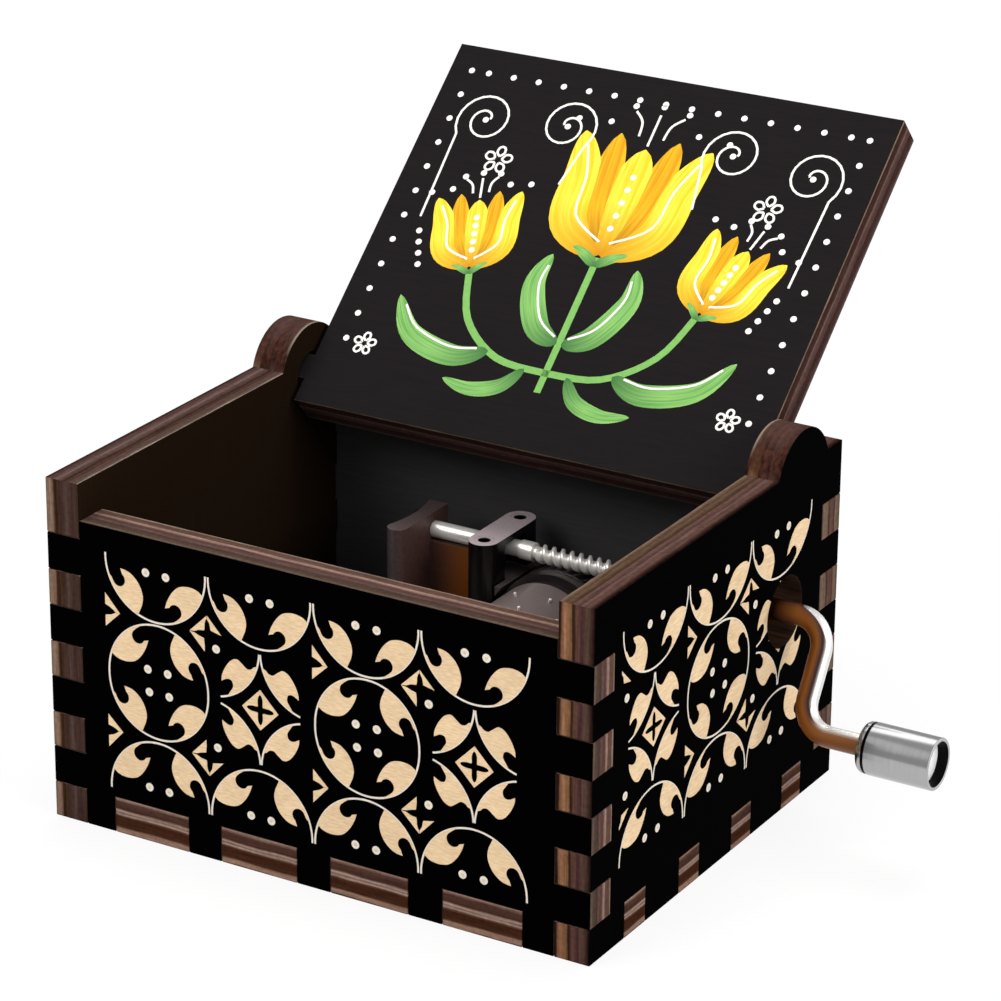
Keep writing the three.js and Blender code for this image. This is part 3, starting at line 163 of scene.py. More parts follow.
def streaks(tree: Tree, place: Socket, spacing: Sequence[float], low: float, high: float) -> Socket:
    """Makes a brightness that runs in streaks, from noise stretched by a real spacing.

    Args:
        tree: the material's tree.
        place: coordinates in millimetres.
        spacing: the length of one streak along each axis, in millimetres.
        low: the brightness of the darkest streaks.
        high: the brightness of the lightest streaks.

    Returns:
        The socket that gives the brightness.
    """
    stretched = add_node(tree, "ShaderNodeMapping", {"Vector": place, "Scale": [1 / s for s in spacing]})
    noise = add_node(tree, "ShaderNodeTexNoise", {"Vector": stretched.outputs[0], "Scale": 1.0, "Detail": 3.0})
    ends = {"Value": noise.outputs[0], "From Min": 0.3, "From Max": 0.7, "To Min": low, "To Max": high}
    return add_node(tree, "ShaderNodeMapRange", ends).outputs[0]


def blended(
    tree: Tree, value: Socket, ends: Sequence[float], first: Socket | Colour, second: Socket | Colour
) -> Socket:
    """Lets one colour go over into another as a value goes from one end to the other.

    Args:
        tree: the material's tree.
        value: what decides.
        ends: where the second colour starts and where it is full, and its share there if that isn't 1.
        first: the first colour.
        second: the second colour.

    Returns:
        The socket that gives the colour.
    """
    low, high, full = (*ends, 1.0)[:3]
    inputs = {"Value": value, "From Min": low, "From Max": high, "To Max": full}
    share = add_node(tree, "ShaderNodeMapRange", inputs).outputs[0]
    return add_node(tree, "ShaderNodeMix", {0: share, 6: first, 7: second}, data_type="RGBA").outputs[2]


@dataclass(frozen=True)
class Ground:
    """What a finish works on: its material's tree, and what the surface gives at each point."""

    tree: Tree
    place: Socket  # in the piece's own frame, in millimetres
    along: Socket  # the place along X
    height: Socket  # the place along Z
    outward: Socket  # the way that the surface looks
    rise: Socket  # how far it looks up, from -1 to 1
    chart: Socket  # the piece's own map


@dataclass(frozen=True)
class Finish:
    """What every finish shares: its name, and a shader that its own method dresses."""

    name: str

    def material(self) -> bpy.types.Material:
        """Makes this finish's material the first time that it is asked for.

        Returns:
            The material.
        """
        made = bpy.data.materials.get(self.name)
        if made is None:
            made = bpy.data.materials.new(self.name)
            made.use_nodes = True
            tree = made.node_tree
            tree.nodes.clear()
            seen = add_node(tree, "ShaderNodeTexCoord").outputs
            place = add_node(tree, "ShaderNodeMapping", {"Vector": seen["Object"], "Scale": (1 / MM,) * 3}).outputs[0]
            along, _, height = add_node(tree, "ShaderNodeSeparateXYZ", {0: place}).outputs
            rise = add_node(tree, "ShaderNodeSeparateXYZ", {0: seen["Normal"]}).outputs[2]
            inputs = self.dress(Ground(tree, place, along, height, seen["Normal"], rise, seen["UV"]))
            if "Normal" in inputs:
                relief, depth = inputs["Normal"]
                relief = {"Height": relief, "Distance": depth * MM, "Strength": 1.0}
                inputs["Normal"] = add_node(tree, "ShaderNodeBump", relief).outputs[0]
            shader = add_node(tree, "ShaderNodeBsdfPrincipled", inputs)
            add_node(tree, "ShaderNodeOutputMaterial", {"Surface": shader.outputs[0]})
        return made

    def dress(self, ground: Ground) -> Inputs:
        """Returns the shader's inputs, with a height and a depth in millimetres as the normal."""
        raise NotImplementedError


class Plies(Enum):
    """Cut edges of the sheets: places from the inner face at 0 to the outer face at 1, and colours."""

    FRONT = (
        (0.0, "#8a766a"), (0.05, "#7a655a"), (0.09, "#553e35"), (0.26, "#57423a"), (0.31, "#8f7468"),
        (0.37, "#7d6459"), (0.44, "#4c3530"), (0.62, "#5b4440"), (0.68, "#41332c"), (0.88, "#4c3c34"),
        (0.93, "#5e4f44"), (1.0, "#4a3c35"),
    )
    BACK = (
        (0.0, "#4f3c34"), (0.06, "#6f5d50"), (0.3, "#665344"), (0.36, "#3f2a22"), (0.44, "#5b443d"), (0.62, "#553f38"),
        (0.68, "#3f2a22"), (0.74, "#6c5a4c"), (0.92, "#5f4d42"), (1.0, "#4a3a32"),
    )
    LEFT = (
        (0.0, "#35241e"), (0.05, "#402e28"), (0.2, "#3a2823"), (0.3, "#412f2a"), (0.38, "#4c3b37"), (0.46, "#402f2a"),
        (0.55, "#3b2820"), (0.64, "#3c291f"), (0.68, "#2e1d10"), (0.74, "#352315"), (0.79, "#6c5446"),
        (0.88, "#806657"), (0.95, "#725d4a"), (1.0, "#66584c"),
    )
    LEFT_TOP = (
        (0.0, "#9a897f"), (0.03, "#7d6c63"), (0.07, "#57473f"), (0.17, "#4f3f38"), (0.26, "#503f38"), (0.3, "#3f2c26"),
        (0.37, "#47342d"), (0.42, "#2f1d17"), (0.48, "#44322c"), (0.56, "#53413b"), (0.62, "#594741"),
        (0.65, "#6f5b57"), (0.7, "#604c49"), (0.76, "#56413d"), (0.82, "#4a3433"), (0.87, "#4e3a36"),
        (0.91, "#352421"), (1.0, "#2c1e1c"),
    )
    RIGHT = (
        (0.0, "#1e120c"), (0.06, "#2a1812"), (0.1, "#6f4d39"), (0.17, "#8c6349"), (0.26, "#7b573c"), (0.35, "#6d4e34"),
        (0.39, "#2e1c15"), (0.44, "#38241c"), (0.48, "#543a30"), (0.55, "#4f372f"), (0.6, "#462b2b"), (0.67, "#412828"),
        (0.72, "#503c33"), (0.81, "#4a372e"), (0.88, "#3a2822"), (0.95, "#241613"), (1.0, "#0e0907"),
    )
    RIGHT_TOP = (
        (0.0, "#2a1c14"), (0.03, "#78665a"), (0.07, "#6a5746"), (0.15, "#4d3c2e"), (0.24, "#5e4837"), (0.32, "#4a382d"),
        (0.37, "#3a2822"), (0.43, "#614a40"), (0.5, "#584039"), (0.56, "#48322f"), (0.63, "#66504a"), (0.72, "#553d38"),
        (0.8, "#5a423a"), (0.87, "#3c2a24"), (0.94, "#160e0a"), (1.0, "#050303"),
    )
    BOTTOM = (
        (0.0, "#8f786d"), (0.04, "#7a5f53"), (0.1, "#4a332b"), (0.3, "#412a22"), (0.36, "#9b8377"), (0.41, "#70574b"),
        (0.45, "#9a8276"), (0.5, "#523529"), (0.55, "#3c2114"), (0.8, "#40261a"), (0.86, "#8f7161"), (0.96, "#8a6b5a"),
        (0.98, "#3a2214"), (1.0, "#241208"),
    )
    LID = (
        (0.0, "#857360"), (0.04, "#6f5d4c"), (0.08, "#352220"), (0.3, "#3f2a25"), (0.36, "#6a524a"), (0.42, "#54403b"),
        (0.6, "#4a3632"), (0.66, "#382421"), (0.86, "#402e2c"), (0.95, "#5a4943"), (1.0, "#3c2f2b"),
    )


@dataclass(frozen=True)
class PrintedPlywood(Finish):
    """Basswood plywood, printed black and cut by laser.

    The print is matt and nearly black over a fine wood grain. The laser leaves the edges brown, with
    each ply a band of its own, and it chars the rounded ears, where it moved slowly.
    """

    turn: Triple  # brings the sheet's outer face to +Z
    inner_face: float  # where the inner face then lies, in millimetres
    sheet: float  # thickness in millimetres
    plies: Plies
    outer: str = "#010101"
    inner: str = "#2b1f17"
    gloss: float = 0.002
    top: Plies | None = None  # bands of the edges that face up, which differ from those of the upright edges
    charred_above: float | None = None  # height in millimetres
    ear_top: float = 42.0

    def dress(self, ground: Ground) -> Inputs:
        """Paints faces by the way they look and edges by their place between the faces.

        Args:
            ground: what the finish works on.

        Returns:
            The shader's inputs.
        """
        tree = ground.tree
        inputs = {"Vector": ground.place, "Rotation": self.turn, "Location": (0, 0, -self.inner_face)}
        place = add_node(tree, "ShaderNodeMapping", inputs).outputs[0]
        inputs = {"Vector": ground.outward, "Rotation": self.turn}
        facing = add_node(tree, "ShaderNodeMapping", inputs, vector_type="VECTOR").outputs[0]
        across = add_node(tree, "ShaderNodeSeparateXYZ", {0: facing}).outputs[2]
        steep = add_node(tree, "ShaderNodeMath", {0: across}, operation="ABSOLUTE").outputs[0]
        level = add_node(tree, "ShaderNodeSeparateXYZ", {0: place}).outputs[2]
        depth = add_node(tree, "ShaderNodeMath", {0: level, 1: self.sheet}, operation="DIVIDE").outputs[0]
        wander = streaks(tree, place, (6.0, 6.0, 2.0), -0.022, 0.022)
        uneven = add_node(tree, "ShaderNodeMath", {0: depth, 1: wander}, operation="ADD").outputs[0]
        edge = add_node(tree, "ShaderNodeValToRGB", {0: uneven}, stops=self.plies.value).outputs[0]
        if self.top is not None:
            bands = add_node(tree, "ShaderNodeValToRGB", {0: uneven}, stops=self.top.value).outputs[0]
            edge = blended(tree, ground.rise, (0.5, 0.8), edge, bands)
        fibres = streaks(tree, place, (3.5, 3.5, 0.13), 0.7, 1.22)
        soot = streaks(tree, place, (0.5, 0.5, 0.5), 0.8, 1.12)
        for marks in (fibres, soot):
            edge = add_node(tree, "ShaderNodeMix", {0: 1.0, 6: edge, 7: marks}, **MULTIPLIED).outputs[2]
        if self.charred_above is not None:
            edge = self.charred(ground, depth, edge)
        face = blended(tree, across, (-0.1, 0.1), linear(self.inner), linear(self.outer))
        grain = streaks(tree, place, (6.0, 0.35, 6.0), 0.92, 1.08)
        face = add_node(tree, "ShaderNodeMix", {0: 1.0, 6: face, 7: grain}, **MULTIPLIED).outputs[2]
        rough = {"Value": steep, "From Min": 0.55, "From Max": 0.8, "To Min": 0.75, "To Max": 0.62}
        return {
            "Base Color": blended(tree, steep, (0.55, 0.8), edge, face),
            "Roughness": add_node(tree, "ShaderNodeMapRange", rough).outputs[0],
            "Specular IOR Level": self.gloss,
            "Normal": (fibres, 0.012),
        }

    def charred(self, ground: Ground, depth: Socket, edge: Socket) -> Socket:
        """Chars the edges above a height to a mottled red-brown, painted lighter towards the ears' top as a painted
        highlight, with a pale line at the inner face.

        Args:
            ground: what the finish works on.
            depth: the place between the inner face at 0 and the outer face at 1.
            edge: the edges' colour before.

        Returns:
            Their colour after.
        """
        tree, height, top, low = ground.tree, ground.height, self.ear_top, self.charred_above
        mottle = streaks(tree, ground.place, (0.35, 0.7, 0.7), 0.0, 1.0)
        char = blended(tree, mottle, (0, 1), linear("#150906"), linear("#4a2a21"))
        # painted highlight: the char is lightened towards the ears' top
        char = blended(tree, height, (top - 1.6, top, 0.4), char, linear("#56423e"))
        pale = blended(tree, height, (top - 2.4, top - 0.8), char, linear("#85766a"))
        char = blended(tree, depth, (0.09, 0.05), char, pale)
        return blended(tree, height, (low - 0.4, low + 0.6, 0.8), edge, char)


@dataclass(frozen=True)
class LaserBore(Finish):
    """The wall of a laser-cut hole: burnt nearly black, with soot in upright streaks."""

    light: str = "#3c271a"
    deep: str = "#1c100a"

    def dress(self, ground: Ground) -> Inputs:
        """Streaks the soot along the beam.

        Args:
            ground: what the finish works on.

        Returns:
            The shader's inputs.
        """
        soot = streaks(ground.tree, ground.place, (3.0, 0.35, 0.35), 0.0, 1.0)
        return {
            "Base Color": blended(ground.tree, soot, (0, 1), linear(self.deep), linear(self.light)),
            "Roughness": 0.8,
            "Specular IOR Level": 0.1,
            "Normal": (soot, 0.02),
        }


@dataclass(frozen=True)
class BareWood(Finish):
    """Basswood that the print leaves bare: warm tan with fine brown fibres and a soft sheen."""

    pale: str = "#e2c8a2"
    dark: str = "#cdad86"
    along: Triple = (0.9, 0.9, 0.14)

    def dress(self, ground: Ground) -> Inputs:
        """Runs fibres level across the shapes, over a slow drift of tone.

        Args:
            ground: what the finish works on.

        Returns:
            The shader's inputs.
        """
        fibres = streaks(ground.tree, ground.place, self.along, 0.0, 1.0)
        drift = streaks(ground.tree, ground.place, (3.0, 3.0, 2.2), 0.93, 1.05)
        tone = blended(ground.tree, fibres, (0, 1), linear(self.dark), linear(self.pale))
        return {
            "Base Color": add_node(ground.tree, "ShaderNodeMix", {0: 1.0, 6: tone, 7: drift}, **MULTIPLIED).outputs[2],
            "Roughness": 0.6,
            "Specular IOR Level": 0.2,
            "Normal": (fibres, 0.01),
        }


@dataclass(frozen=True)
class Paint(Finish):
    """Matt water paint laid on with a small brush: two tones that run along each stroke."""

    light: str
    deep: str
    heart: str

    def dress(self, ground: Ground) -> Inputs:
        """Draws bristle marks along each stroke's own map and darkens its foot.

        Args:
            ground: what the finish works on.

        Returns:
            The shader's inputs.
        """
        tree = ground.tree
        marks = add_node(tree, "ShaderNodeMapping", {"Vector": ground.chart, "Scale": (7.0, 1.1, 1.0)}).outputs[0]
        bristle = add_node(tree, "ShaderNodeTexNoise", {"Vector": marks, "Scale": 1.6, "Detail": 4.0}).outputs[0]
        tone = blended(tree, bristle, (0.36, 0.62), linear(self.deep), linear(self.light))
        along = add_node(tree, "ShaderNodeSeparateXYZ", {0: ground.chart}).outputs[1]
        tone = blended(tree, along, (0.5, 0.02), tone, linear(self.heart))
        return {"Base Color": tone, "Roughness": 0.62, "Specular IOR Level": 0.2}


@dataclass(frozen=True)
class Ink(Finish):
    """Opaque pale ink: flat and matt, a little uneven where it soaked in."""

    colour: str

    def dress(self, ground: Ground) -> Inputs:
        """Mottles the ink at half a millimetre.

        Args:
            ground: what the finish works on.

        Returns:
            The shader's inputs.
        """
        inputs = {0: 1.0, 6: linear(self.colour), 7: streaks(ground.tree, ground.place, (0.5, 0.5, 0.5), 0.9, 1.04)}
        tone = add_node(ground.tree, "ShaderNodeMix", inputs, **MULTIPLIED).outputs[2]
        return {"Base Color": tone, "Roughness": 0.6, "Specular IOR Level": 0.15}


@dataclass(frozen=True)
class WorkedMetal(Finish):
    """Metal with the marks of how it was made, which stretch its highlights across them."""

    light: str
    dark: str
    marks: Marks
    roughness: float
    depth: float = 0.004
    metallic: float = 1.0

    def dress(self, ground: Ground) -> Inputs:
        """Varies colour, roughness and relief along the marks.

        Args:
            ground: what the finish works on.

        Returns:
            The shader's inputs.
        """
        lines = streaks(ground.tree, ground.place, self.marks.value, 0.0, 1.0)
        rough = {"Value": lines, "To Min": self.roughness * 1.15, "To Max": self.roughness * 0.85}
        return {
            "Base Color": self.tone(ground, blended(ground.tree, lines, (0, 1), linear(self.dark), linear(self.light))),
            "Metallic": self.metallic,
            "Roughness": add_node(ground.tree, "ShaderNodeMapRange", rough).outputs[0],
            "Normal": (lines, self.depth),
        }

    def tone(self, ground: Ground, base: Socket) -> Socket:
        """Returns the colour that the marks give; a finish that discolours changes it."""
        return base


@dataclass(frozen=True)
class PlatedWire(Finish):
    """Bright nickel plating on the crank's wire, drawn and then polished.

    Outside the case a reflection is painted on by the way the surface faces. On the arm a white painted
    highlight lies on the side away from the box, and a copper-brown painted reflection lies on the side next
    to it, with a dark line where the two meet. Past the arm only the top carries the white painted highlight.
    Near the hole the wire is painted dark as painted shade. Inside the case the plating is even.
    """

    nickel: str = "#fdfaf5"
    drawn: str = "#f3eee8"
    painted_highlight_side: Triple = (0.881, 0.402, -0.251)  # across the arm, away from the case, where the white painted highlight lies
    painted_top_highlight: Triple = (0.6, 0.0, 0.8)  # the outside of the upper bend, where a white painted highlight lies on top
    painted_reflection_start: tuple[float, float] = (27.0, 30.0)  # where the painted reflection starts along X
    soot: tuple[float, float] = (31.2, 33.8)  # painted shade: the wire is painted dark near the hole, fading out along X
    arm_end: tuple[float, float] = (38.3, 40.3)  # where the arm's painted reflection ends along X
    bare: tuple[float, float] = (0.1, 0.75)  # how metallic the painted brown reflection and the white painted highlight are

    def dress(self, ground: Ground) -> Inputs:
        """Paints a reflection on the wire by the way its surface faces, and lets the painted brown side mirror less.

        Args:
            ground: what the finish works on.

        Returns:
            The shader's inputs.
        """
        tree, along, rise = ground.tree, ground.along, ground.rise
        lines = streaks(tree, ground.place, Marks.DRAWN_X.value, 0.0, 1.0)
        even = blended(tree, lines, (0, 1), linear(self.drawn), linear(self.nickel))
        shares = []
        for toward, low, high, most in ((self.painted_highlight_side, -1.0, 1.0, 1.0), (self.painted_top_highlight, 0.74, 0.88, 0.76)):
            inputs = {0: ground.outward, 1: toward}
            facing = add_node(tree, "ShaderNodeVectorMath", inputs, operation="DOT_PRODUCT").outputs["Value"]
            inputs = {"Value": facing, "From Min": low, "From Max": high, "To Max": most}
            shares.append(add_node(tree, "ShaderNodeMapRange", inputs).outputs[0])
        side = add_node(tree, "ShaderNodeMath", dict(enumerate(shares)), operation="MAXIMUM").outputs[0]
        # painted reflection on the arm: copper brown towards the case, a dark line, then a white painted highlight away
        # from it
        painted_reflection_stops = [
            (0.0, "#8a5a38"), (0.08, "#7c4417"), (0.24, "#8c521f"), (0.34, "#6a3f26"), (0.46, "#3a241c"),
            (0.52, "#3a2c27"), (0.6, "#8a807c"), (0.68, "#f2efea"), (0.78, "#ffffff"), (0.88, "#dcdbd9"),
            (1.0, "#e8e7e4"),
        ]
        arm_painted_reflection = add_node(tree, "ShaderNodeValToRGB", {0: side}, stops=painted_reflection_stops).outputs[0]
        # painted reflection past the arm: brown underneath and a white painted highlight on top
        top_painted_stops = [
            (0.0, "#7d4e2e"), (0.4, "#8c562c"), (0.68, "#84593c"), (0.8, "#b39c8a"), (0.88, "#f6efe6"),
            (1.0, "#fdfaf5"),
        ]
        beyond_arm_painted = add_node(tree, "ShaderNodeValToRGB", {0: rise}, stops=top_painted_stops).outputs[0]
        painted_reflection = blended(tree, along, self.arm_end, arm_painted_reflection, beyond_arm_painted)
        # painted shade: the wire goes dark brown where it passes the hole
        painted_reflection = blended(tree, along, self.soot, linear("#1d0e07"), painted_reflection)
        low, high = self.bare
        ranges = (
            {"Value": along, "From Min": self.arm_end[0], "From Max": self.arm_end[1]},
            {"Value": side, "From Min": 0.54, "From Max": 0.68, "To Min": low, "To Max": high},
            {"Value": rise, "From Min": 0.7, "From Max": 0.88, "To Min": low, "To Max": high},
            {"Value": along, "From Min": self.painted_reflection_start[0], "From Max": self.painted_reflection_start[1]},
        )
        past, arm_bare, top_bare, outside = (add_node(tree, "ShaderNodeMapRange", r).outputs[0] for r in ranges)
        bare = add_node(tree, "ShaderNodeMix", {0: past, 2: arm_bare, 3: top_bare}).outputs[0]
        return {
            "Base Color": blended(tree, along, self.painted_reflection_start, even, painted_reflection),
            "Metallic": add_node(tree, "ShaderNodeMix", {0: outside, 2: 0.5, 3: bare}).outputs[0],
            "Roughness": 0.27,
            "Specular IOR Level": 0.22,
        }


@dataclass(frozen=True)
class CastBronze(WorkedMetal):
    """Dark lacquered casting, grainy under the lacquer and orange beside the bridge, with a painted highlight that
    lightens its top faces.
    """

    warm: str = "#7a3f10"
    # painted highlight: the colour that the top faces are painted
    painted_lit_top: str = "#5e5250"
    warm_range: tuple[float, float, float, float] = (-11.5, -6.5, -3.6, -2.2)

    def tone(self, ground: Ground, base: Socket) -> Socket:
        """Turns the lacquer orange along X and paints its top faces lighter as a painted highlight.

        Args:
            ground: what the finish works on.
            base: the colour that the marks give.

        Returns:
            The casting's colour.
        """
        tree, along = ground.tree, ground.along
        warmed = blended(tree, along, self.warm_range[2:], linear(self.warm), base)
        sides = blended(tree, along, self.warm_range[:2], base, warmed)
        # painted highlight: faces that look up are painted lighter
        return blended(tree, ground.rise, (0.5, 0.9, 0.5), sides, linear(self.painted_lit_top))


@dataclass(frozen=True)
class BlackEnamel(Finish):
    """Stoved black enamel on steel: deep and glossy on the legs, and rougher on top, where a grey painted reflection
    lies.
    """

    colour: str = "#0d090b"
    painted_top_reflection: str = "#a8999c"

    def dress(self, ground: Ground) -> Inputs:
        """Sets the gloss, a faint orange peel and the painted reflection on the top faces.

        Args:
            ground: what the finish works on.

        Returns:
            The shader's inputs.
        """
        tree = ground.tree
        specks = streaks(tree, ground.place, (0.3, 0.3, 0.3), 0.92, 1.1)
        # painted reflection: faces that look up are painted grey
        base = blended(tree, ground.rise, (0.55, 0.9), linear(self.colour), linear(self.painted_top_reflection))
        rough = {"Value": ground.rise, "From Min": 0.55, "From Max": 0.9, "To Min": 0.22, "To Max": 0.55}
        return {
            "Base Color": add_node(tree, "ShaderNodeMix", {0: 1.0, 6: base, 7: specks}, **MULTIPLIED).outputs[2],
            "Roughness": add_node(tree, "ShaderNodeMapRange", rough).outputs[0],
            "Specular IOR Level": 0.3,
            "Normal": (specks, 0.003),
        }


# painted highlight: a white, nearly matt plug that reads bright in the knob's bore
PAINTED_HIGHLIGHT_PLUG = WorkedMetal("bright_plug", "#ffffff", "#f4f4f4", Marks.TURNED_X, 0.5, 0.0003, 0.1)
STEEL = WorkedMetal("ground_steel", "#c9c5bf", "#a8a39c", Marks.BRUSHED_Y, 0.34)
SCREW_STEEL = WorkedMetal("zinc_plated_steel", "#bfbcb6", "#99958e", Marks.CAST, 0.36)
CLIP_STEEL = WorkedMetal("blackened_spring_steel", "#4a4444", "#2c2727", Marks.CAST, 0.4)
PIN_STEEL = WorkedMetal("pin_steel", "#f4efe6", "#ded8cc", Marks.DRAWN_X, 0.3, 0.001, 0.5)
DRUM_METAL = WorkedMetal("turned_drum_metal", "#948583", "#8a7c79", Marks.TURNED_Y, 0.36, 0.0004, 0.6)
WHEEL_METAL = WorkedMetal("blackened_wheel_metal", "#332b2c", "#241e1e", Marks.TURNED_Y, 0.3, 0.001, 0.35)
KNOB_METAL = WorkedMetal("turned_aluminium", "#b0b0b1", "#a9a9aa", Marks.TURNED_X, 0.2, 0.0001)
# painted shade: a near-black colour for the knob's bore and groove and the bridge screws' sockets
PAINTED_RECESS_SHADE = WorkedMetal("blackened_bore", "#1a1a1a", "#0c0c0c", Marks.TURNED_X, 0.4)
WIRE_METAL = PlatedWire("plated_crank_wire")
FRAME_METAL = CastBronze("lacquered_casting", "#54484a", "#433839", Marks.CAST, 0.45, 0.005, 0.3)
ENAMEL = BlackEnamel("stoved_black_enamel")
BURNT_BORE = LaserBore("laser_burnt_bore")


def move_to_scene(name: str, mesh: bpy.types.Mesh) -> Piece:
    """Links a mesh to the scene as an object at the origin."""
    made = bpy.data.objects.new(name, mesh)
    bpy.context.scene.collection.objects.link(made)
    return made


def joint(name: str) -> dict[str, object]:
    """Returns a joint of the frame by its name."""
    return next(j for j in frame["joints"] if j["name"] == name)


def dress_node(node: str, finish: Finish) -> None:
    """Gives its finish to a frame node that is shown as it is."""
    frame["nodes"][node].data.materials.clear()
    frame["nodes"][node].data.materials.append(finish.material())


def shade(mesh: bpy.types.Mesh, degrees: float) -> None:
    """Shades a mesh smooth apart from edges sharper than an angle."""
    mesh.polygons.foreach_set("use_smooth", [True] * len(mesh.polygons))
    mesh.set_sharp_from_angle(angle=math.radians(degrees))


def from_bmesh(name: str, built: bmesh.types.BMesh, finishes: Sequence[Finish], degrees: float = 35) -> Piece:
    """Turns a finished bmesh into a shaded object.

    Args:
        name: the piece's name.
        built: its mesh, which is freed.
        finishes: its finishes, in the order of the faces' material numbers.
        degrees: edges sharper than this stay sharp.

    Returns:
        The object, in the scene.
    """
    mesh = bpy.data.meshes.new(name)
    built.to_mesh(mesh)
    built.free()
    for finish in finishes:
        mesh.materials.append(finish.material())
    shade(mesh, degrees)
    return move_to_scene(name, mesh)


def settle(piece: Piece) -> Piece:
    """Replaces a piece's mesh by what its modifiers make of it, and removes them.

    Args:
        piece: the piece.

    Returns:
        The same piece.
    """
    seen = piece.evaluated_get(bpy.context.evaluated_depsgraph_get())
    mesh = bpy.data.meshes.new_from_object(seen)
    mesh.name = piece.name
    piece.modifiers.clear()
    piece.data = mesh
    return piece


def cut_away(piece: Piece, cutter: Piece, crossing: bool = False) -> None:
    """Cuts one piece out of another and deletes it.

    Args:
        piece: the piece that stays.
        cutter: the piece that is cut out.
        crossing: whether the piece's own shapes overlap.
    """
    cut = piece.modifiers.new("cut", "BOOLEAN")
    cut.operation = "DIFFERENCE"
    cut.solver = "EXACT"
    cut.use_self = crossing
    cut.object = cutter
    settle(piece)
    bpy.data.objects.remove(cutter)


def merged_copy(node: str, name: str, finish: Finish, rounding: float, degrees: float = 30) -> Piece:
    """Copies a frame node as one clean skin with its edges eased.

    Args:
        node: the frame's node.
        name: the copy's name.
        finish: its finish.
        rounding: width of the eased edges in millimetres.
        degrees: edges sharper than this are eased.

    Returns:
        The copy, in the scene.
    """
    built = bmesh.new()
    built.from_mesh(frame["nodes"][node].data)
    bmesh.ops.remove_doubles(built, verts=built.verts, dist=WELD)
    bmesh.ops.dissolve_limit(built, angle_limit=math.radians(1), verts=built.verts, edges=built.edges)
    for face in built.faces:
        face.material_index = 0
    copy = from_bmesh(name, built, (finish,), degrees)
    ease = copy.modifiers.new("ease", "BEVEL")
    ease.width = rounding * MM
    ease.segments = 2
    ease.limit_method = "ANGLE"
    ease.angle_limit = math.radians(degrees)
    ease.harden_normals = True
    return settle(copy)


def hand_over(piece: Piece, body: Body, slot: Slot, *nodes: str) -> Piece:
    """Puts a finished piece on its body and reports it.

    Args:
        piece: the piece, in place.
        body: the body that it rides on.
        slot: the record's slot that its finish comes from; not used.
        nodes: frame nodes that it stands for.

    Returns:
        The piece.
    """
    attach(piece, body.value)
    if nodes:
        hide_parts(*nodes)
    LOG.info("%s: %d faces on %s", piece.name, len(piece.data.polygons), body.value)
    return piece


def join_rings(built: bmesh.types.BMesh, low: list, high: list, sides: int) -> None:
    """Joins two rings with faces.

    Args:
        built: the mesh.
        low: the first ring's corners, or its single point.
        high: the second ring's.
        sides: the steps round a whole ring.
    """
    for k in range(sides):
        corners = [low[k % len(low)], low[(k + 1) % len(low)], high[(k + 1) % len(high)], high[k % len(high)]]
        distinct = list(dict.fromkeys(corners))
        if len(distinct) > 2:
            built.faces.new(distinct)


def lathe(name: str, profile: Sequence[Point], axis: Matrix, sides: int, finish: Finish) -> Piece:
    """Turns a profile round an axis.

    Args:
        name: the piece's name.
        profile: radius and distance along the axis, in millimetres; it starts and ends on the axis
            or closes on itself.
        axis: turns and moves +Z at the origin to the real axis.
        sides: steps round the axis.
        finish: the piece's finish.

    Returns:
        The object, in the scene.
    """
    built = bmesh.new()
    rings = []
    for radius, along in profile:
        count = sides if radius > 0 else 1
        turns = [2 * math.pi * i / count for i in range(count)]
        ring = [(radius * math.cos(t) * MM, radius * math.sin(t) * MM, along * MM) for t in turns]
        rings.append([built.verts.new(axis @ Vector(p)) for p in ring])
    for low, high in zip(rings, rings[1:]):
        join_rings(built, low, high, sides)
    bmesh.ops.remove_doubles(built, verts=built.verts, dist=WELD)
    bmesh.ops.recalc_face_normals(built, faces=built.faces)
    return from_bmesh(name, built, (finish,))


def axis_frame(way: str, place: Vector) -> Matrix:
    """Returns the matrix that takes +Z at the origin to an axis along X or Y through a place."""
    turn = {"X": Matrix.Rotation(math.pi / 2, 4, "Y"), "Y": Matrix.Rotation(-math.pi / 2, 4, "X")}[way]
    return Matrix.Translation(place) @ turn


def arc(centre: Point, radius: float, start: float, end: float, steps: int) -> list[Point]:
    """Returns points of an arc from one angle to another, in degrees, both ends included."""
    angles = [math.radians(start + (end - start) * i / steps) for i in range(steps + 1)]
    return [(centre[0] + radius * math.cos(a), centre[1] + radius * math.sin(a)) for a in angles]


def flowing(points: Sequence[Point], steps: int = 5) -> list[Point]:
    """Returns a smooth line through given points.

    Args:
        points: the points, whose ends are both kept.
        steps: steps between two points.

    Returns:
        The line's points.
    """
    padded = [points[0], *points, points[-1]]
    line = []
    for a, b, c, d in zip(padded, padded[1:], padded[2:], padded[3:]):
        for i in range(steps):
            t = i / steps
            weights = (
                (-t + 2 * t**2 - t**3) / 2,
                (2 - 5 * t**2 + 3 * t**3) / 2,
                (t + 4 * t**2 - 3 * t**3) / 2,
                (t**3 - t**2) / 2,
            )
            line.append(tuple(sum(w * p[k] for w, p in zip(weights, (a, b, c, d))) for k in (0, 1)))
    return [*line, tuple(points[-1])]


def placed(points: Iterable[Point], at: Point, scale: Point = (1, 1), degrees: float = 0) -> list[Point]:
    """Scales points, then turns them, then moves them.

    Args:
        points: the points.
        at: where their origin goes.
        scale: their scale along X and Y.
        degrees: the turn.

    Returns:
        The new points.
    """
    turn = math.radians(degrees)
    cos, sin = math.cos(turn), math.sin(turn)
    sized = [(x * scale[0], y * scale[1]) for x, y in points]
    return [(at[0] + x * cos - y * sin, at[1] + x * sin + y * cos) for x, y in sized]


